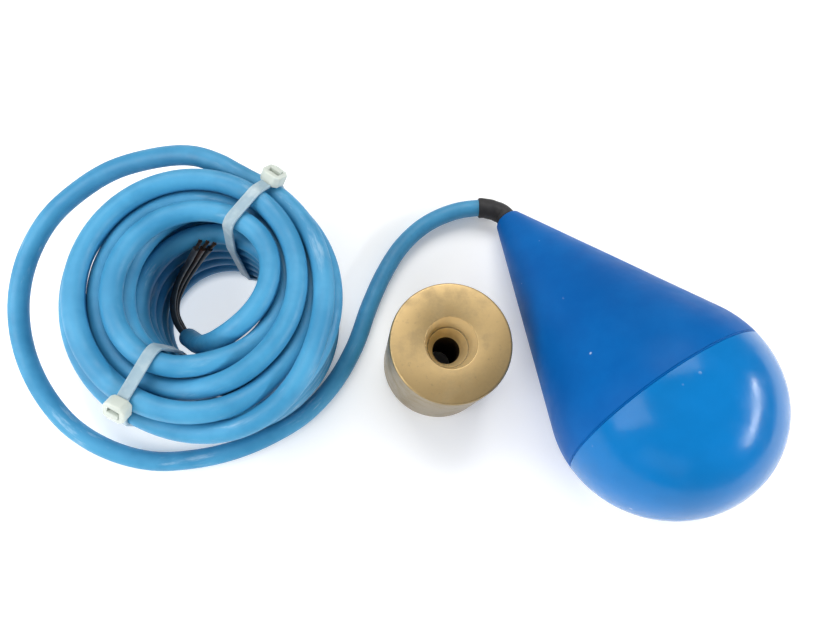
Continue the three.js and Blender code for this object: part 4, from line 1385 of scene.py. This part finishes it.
@dataclass
class FloatShells:
    """The float's two shells, with the weld between them."""

    finishes: dict[Slot, Material]
    place: FloatFrame
    radius: float = 43.0 * MM
    wall: float = 2.4 * MM
    neck_radius: float = 6.4 * MM
    rim_round: float = 1.2 * MM
    bore: float = 4.05 * MM
    bore_length: float = 14.0 * MM
    seam_half: float = 0.15 * MM
    seam_break: float = 0.35 * MM
    mouth_ease: float = 0.3 * MM
    socket_height: float = 2.2 * MM
    socket_ease: float = 0.6 * MM
    spigot_height: float = 5.0 * MM
    spigot_wall: float = 1.8 * MM
    fit: float = 0.3 * MM
    gate_radius: float = 1.6 * MM
    gate_depth: float = 0.35 * MM
    bead: float = 0.26 * MM
    bead_sunk: float = 0.2 * MM
    bead_swell: float = 0.16 * MM
    ripple_height: float = 0.05 * MM
    sides: int = 224

    @property
    def rim(self) -> tuple[float, float]:
        """The radius and height of the centre that the neck's rim is rounded about."""
        return self.neck_radius - self.rim_round, self.place.reach - self.rim_round

    @property
    def cone_angle(self) -> float:
        """The cone's half angle, tangent to the sphere and to the neck's rim."""
        return math.asin((self.radius - self.rim_round) / math.hypot(*self.rim)) - math.atan2(*self.rim)

    def inside(self, height: float) -> float:
        """Work out the radius of the float's inside.

        Args:
            height: the height that it is wanted at.

        Returns:
            The radius.
        """
        inner = self.radius - self.wall
        if height < inner * math.sin(self.cone_angle):
            return math.sqrt(inner**2 - height**2)
        return (inner - height * math.sin(self.cone_angle)) / math.cos(self.cone_angle)

    def cone(self) -> Mesh:
        """Turn the conical shell.

        Returns:
            Its mesh in the float's axes.
        """
        angle, reach = self.cone_angle, self.place.reach
        soft = self.seam_break
        mouth = math.asin((self.seam_half + soft) / self.radius)
        end = reach - self.bore_length
        outline = [
            (self.radius - soft, self.seam_half),
            *arc(self.radius, mouth, angle, 14),
            *self.slope(26),
            *arc(self.rim_round, angle, math.pi / 2, 8, self.rim),
            (self.bore + self.mouth_ease, reach),
            (self.bore, reach - self.mouth_ease),
            (self.bore, end),
            (self.inside(end), end),
            *arc(self.radius - self.wall, angle, math.asin(self.socket_height / self.radius), 6),
            (self.inside(self.seam_half) + self.socket_ease, self.seam_half),
        ]
        return lathe("cone", outline, self.sides, self.ripple)

    def slope(self, steps: int) -> Outline:
        """List points up the cone's straight flank, but for its two ends.

        Args:
            steps: how many steps it takes.

        Returns:
            The points.
        """
        angle, rim = self.cone_angle, self.rim
        foot = (self.radius * math.cos(angle), self.radius * math.sin(angle))
        head = (rim[0] + self.rim_round * math.cos(angle), rim[1] + self.rim_round * math.sin(angle))
        spots = []
        for i in range(1, steps):
            share = i / steps
            spots.append((foot[0] + (head[0] - foot[0]) * share, foot[1] + (head[1] - foot[1]) * share))
        return spots

    def ripple(self, angle: float, height: float) -> float:
        """Let the moulded skin wander a little, so that its gloss isn't perfect.

        Args:
            angle: the place's angle round the float.
            height: its height.

        Returns:
            The offset of the radius there.
        """
        spot = Vector((math.cos(angle) * 1.6, math.sin(angle) * 1.6, height * 40))
        return self.ripple_height * noise.noise(spot)

    def dome(self) -> Mesh:
        """Turn the domed shell, with the gate mark at its pole.

        Returns:
            Its mesh in the float's axes.
        """
        soft = self.seam_break
        inner = self.radius - self.wall
        spigot = self.inside(self.spigot_height) - self.fit
        mouth = -math.asin((self.seam_half + soft) / self.radius)
        gate = self.gate_radius
        pole = -math.pi / 2 + gate / self.radius
        outline = [
            (0.0, -self.radius + self.gate_depth),
            (gate * 0.8, -self.radius + self.gate_depth),
            *arc(self.radius, pole, mouth, 64),
            (self.radius - soft, -self.seam_half),
            (spigot, -self.seam_half),
            (spigot, self.spigot_height),
            (spigot - self.spigot_wall, self.spigot_height),
            *arc(inner, -math.acos((spigot - self.spigot_wall) / inner), -math.pi / 2 + 0.02, 12),
            (0.0, -inner),
        ]
        return lathe("dome", outline, self.sides, self.ripple)

    def weld(self) -> Mesh:
        """Turn the fine uneven bead that the weld pressed out of the seam.

        Returns:
            Its mesh in the float's axes.
        """
        ring = arc(self.bead, 0.0, 2 * math.pi, 10, (self.radius - self.bead_sunk, 0.0))

        def uneven(angle: float, height: float) -> float:
            """Let the bead swell and thin as it goes round.

            Args:
                angle: the place's angle round the float.
                height: its height, which changes nothing.

            Returns:
                The offset of the radius there.
            """
            spot = Vector((math.cos(angle) * 9, math.sin(angle) * 9, 4.0))
            return self.bead_swell * noise.noise(spot)

        return lathe("weld", ring[:-1], 2 * self.sides, uneven)

    def build(self) -> None:
        """Make the shells and the weld, and set them on the float."""
        plan = (
            ("float_cone", self.cone(), Slot.CONE, "cone_shell"),
            ("float_dome", self.dome(), Slot.DOME, "dome_shell"),
            ("seam_weld", self.weld(), Slot.CONE, None),
        )
        for name, mesh, slot, node in plan:
            mesh.transform(self.place.matrix())
            piece = place_mesh(name, mesh, sharp=30)
            dress(piece, self.finishes, slot, Body.FLOAT)
            if node:
                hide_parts(node)


@dataclass
class Counterweight:
    """The turned brass counterweight with its stepped bore."""

    finishes: dict[Slot, Material]
    radius: float = 23.8 * MM
    height: float = 46.0 * MM
    edge: float = 0.9 * MM
    ease: float = 0.25 * MM
    mouth: float = 10.2 * MM
    bore: float = 8.2 * MM
    bore_taper: float = 0.1 * MM
    bore_depth: float = 9.5 * MM
    hole: float = 5.4 * MM
    hole_depth: float = 15.8 * MM
    sides: int = 192

    def outline(self) -> Outline:
        """Draw its half section, with its edges eased.

        Returns:
            The outline's corners.
        """
        top, out, ease = self.height, self.radius, self.ease
        half = math.pi / 2
        return [
            (self.hole + self.edge, 0.0),
            *arc(self.edge, -half, 0.0, 6, (out - self.edge, self.edge)),
            *arc(self.edge, 0.0, half, 6, (out - self.edge, top - self.edge)),
            *arc(ease, half, math.pi * 0.95, 4, (self.mouth + ease, top - ease)),
            (self.bore + self.bore_taper, top - self.bore_depth + ease),
            (self.bore - ease, top - self.bore_depth),
            (self.hole + ease, top - self.hole_depth + ease),
            (self.hole, top - self.hole_depth - ease),
            (self.hole, self.edge),
        ]

    def build(self) -> None:
        """Turn the counterweight and stand it in its place."""
        middle = middle_of("counterweight")
        low = Vector(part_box("counterweight")[0])
        piece = place_mesh("brass_weight", lathe("brass_weight", self.outline(), self.sides), sharp=32)
        piece.matrix_world = Matrix.Translation((middle.x, middle.y, low.z))
        dress(piece, self.finishes, Slot.BRASS, Body.WEIGHT)
        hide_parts("counterweight")


@dataclass(frozen=True)
class SoftLamp:
    """One soft lamp that looks at a point of the object."""

    name: str
    place: Triple
    target: Triple
    size: tuple[float, float]
    power: float
    tint: Triple = (1.0, 1.0, 1.0)
    mirrored: bool = True

    def build(self) -> None:
        """Hang the lamp."""
        data = bpy.data.lights.new(self.name, "AREA")
        data.shape = "RECTANGLE"
        data.size, data.size_y = self.size
        data.energy = self.power
        data.color = self.tint
        lamp = bpy.data.objects.new(self.name, data)
        lamp.location = self.place
        lamp.visible_glossy = self.mirrored
        way = Vector(self.target) - Vector(self.place)
        lamp.rotation_euler = way.to_track_quat("-Z", "Y").to_euler()
        bpy.context.scene.collection.objects.link(lamp)


@dataclass(frozen=True)
class Studio:
    """The pale floor, the sky round it and the lamps."""

    floor_size: float = 6.0
    floor_drop: float = 0.02 * MM
    sky: float = 0.18
    lamps: tuple[SoftLamp, ...] = (
        SoftLamp("key", (-0.15, 0.75, 1.0), (-0.05, 0.0, 0.0), (0.9, 0.7), 10.4, (1.0, 0.99, 0.97)),
        SoftLamp("window", (1.05, -0.18, 0.55), (0.04, -0.03, 0.04), (0.95, 0.09), 10.5, (0.97, 0.99, 1.0)),
        SoftLamp("side", (-0.5, -0.1, 0.36), (-0.22, 0.0, 0.0), (0.4, 0.4), 2.1),
        SoftLamp("fill", (-0.3, -1.15, 0.55), (-0.05, 0.0, 0.0), (0.9, 0.4), 7.0, mirrored=False),
    )

    def build(self) -> None:
        """Lay the floor, hang the lamps and light the sky."""
        half = self.floor_size / 2
        corners = [Vector((x * half, y * half, 0.0)) for x, y in ((-1, -1), (1, -1), (1, 1), (-1, 1))]
        floor = place_mesh("floor", mesh_from("floor", corners, [[0, 1, 2, 3]]))
        floor.location.z = -self.floor_drop
        # the floor holds a painted shade spot under the counterweight's bore and a painted pool of light in
        # the coil's hollow
        finish = PaleFloor(shade=floor_under("counterweight"), hollow=floor_under("cable_coil"))
        floor.data.materials.append(finish.build())
        for lamp in self.lamps:
            lamp.build()
        world = bpy.data.worlds.new("pale_sky")
        world.use_nodes = True
        background = world.node_tree.nodes["Background"]
        background.inputs["Color"].default_value = (1.0, 1.0, 1.0, 1.0)
        background.inputs["Strength"].default_value = self.sky
        bpy.context.scene.world = world


def dress_cad_nodes(finishes: dict[Slot, Material]) -> None:
    """Give every CAD node the finish of its record slot.

    Args:
        finishes: the materials by slot.
    """
    slots = {entry["node"]: Slot(entry["material_slot"]) for entry in frame["record"]["subparts"]}
    for node, slot in slots.items():
        piece = frame["nodes"][node]
        piece.data.materials.clear()
        piece.data.materials.append(finishes[slot])
        LOG.info("%s: %s", node, slot.value)


def main() -> None:
    """Build the scene: camera and cable first, then the rigid pieces and the studio."""
    logging.basicConfig(level=logging.INFO, format="%(name)s %(message)s")
    bpy.context.scene.view_settings.view_transform = "Standard"
    PhotoCamera().build()
    finishes = all_finishes()
    place = FloatFrame()
    Cable(finishes).build(place)
    dress_cad_nodes(finishes)
    FloatShells(finishes, place).build()
    Counterweight(finishes).build()
    Studio().build()


if __name__ == "__main__":
    main()
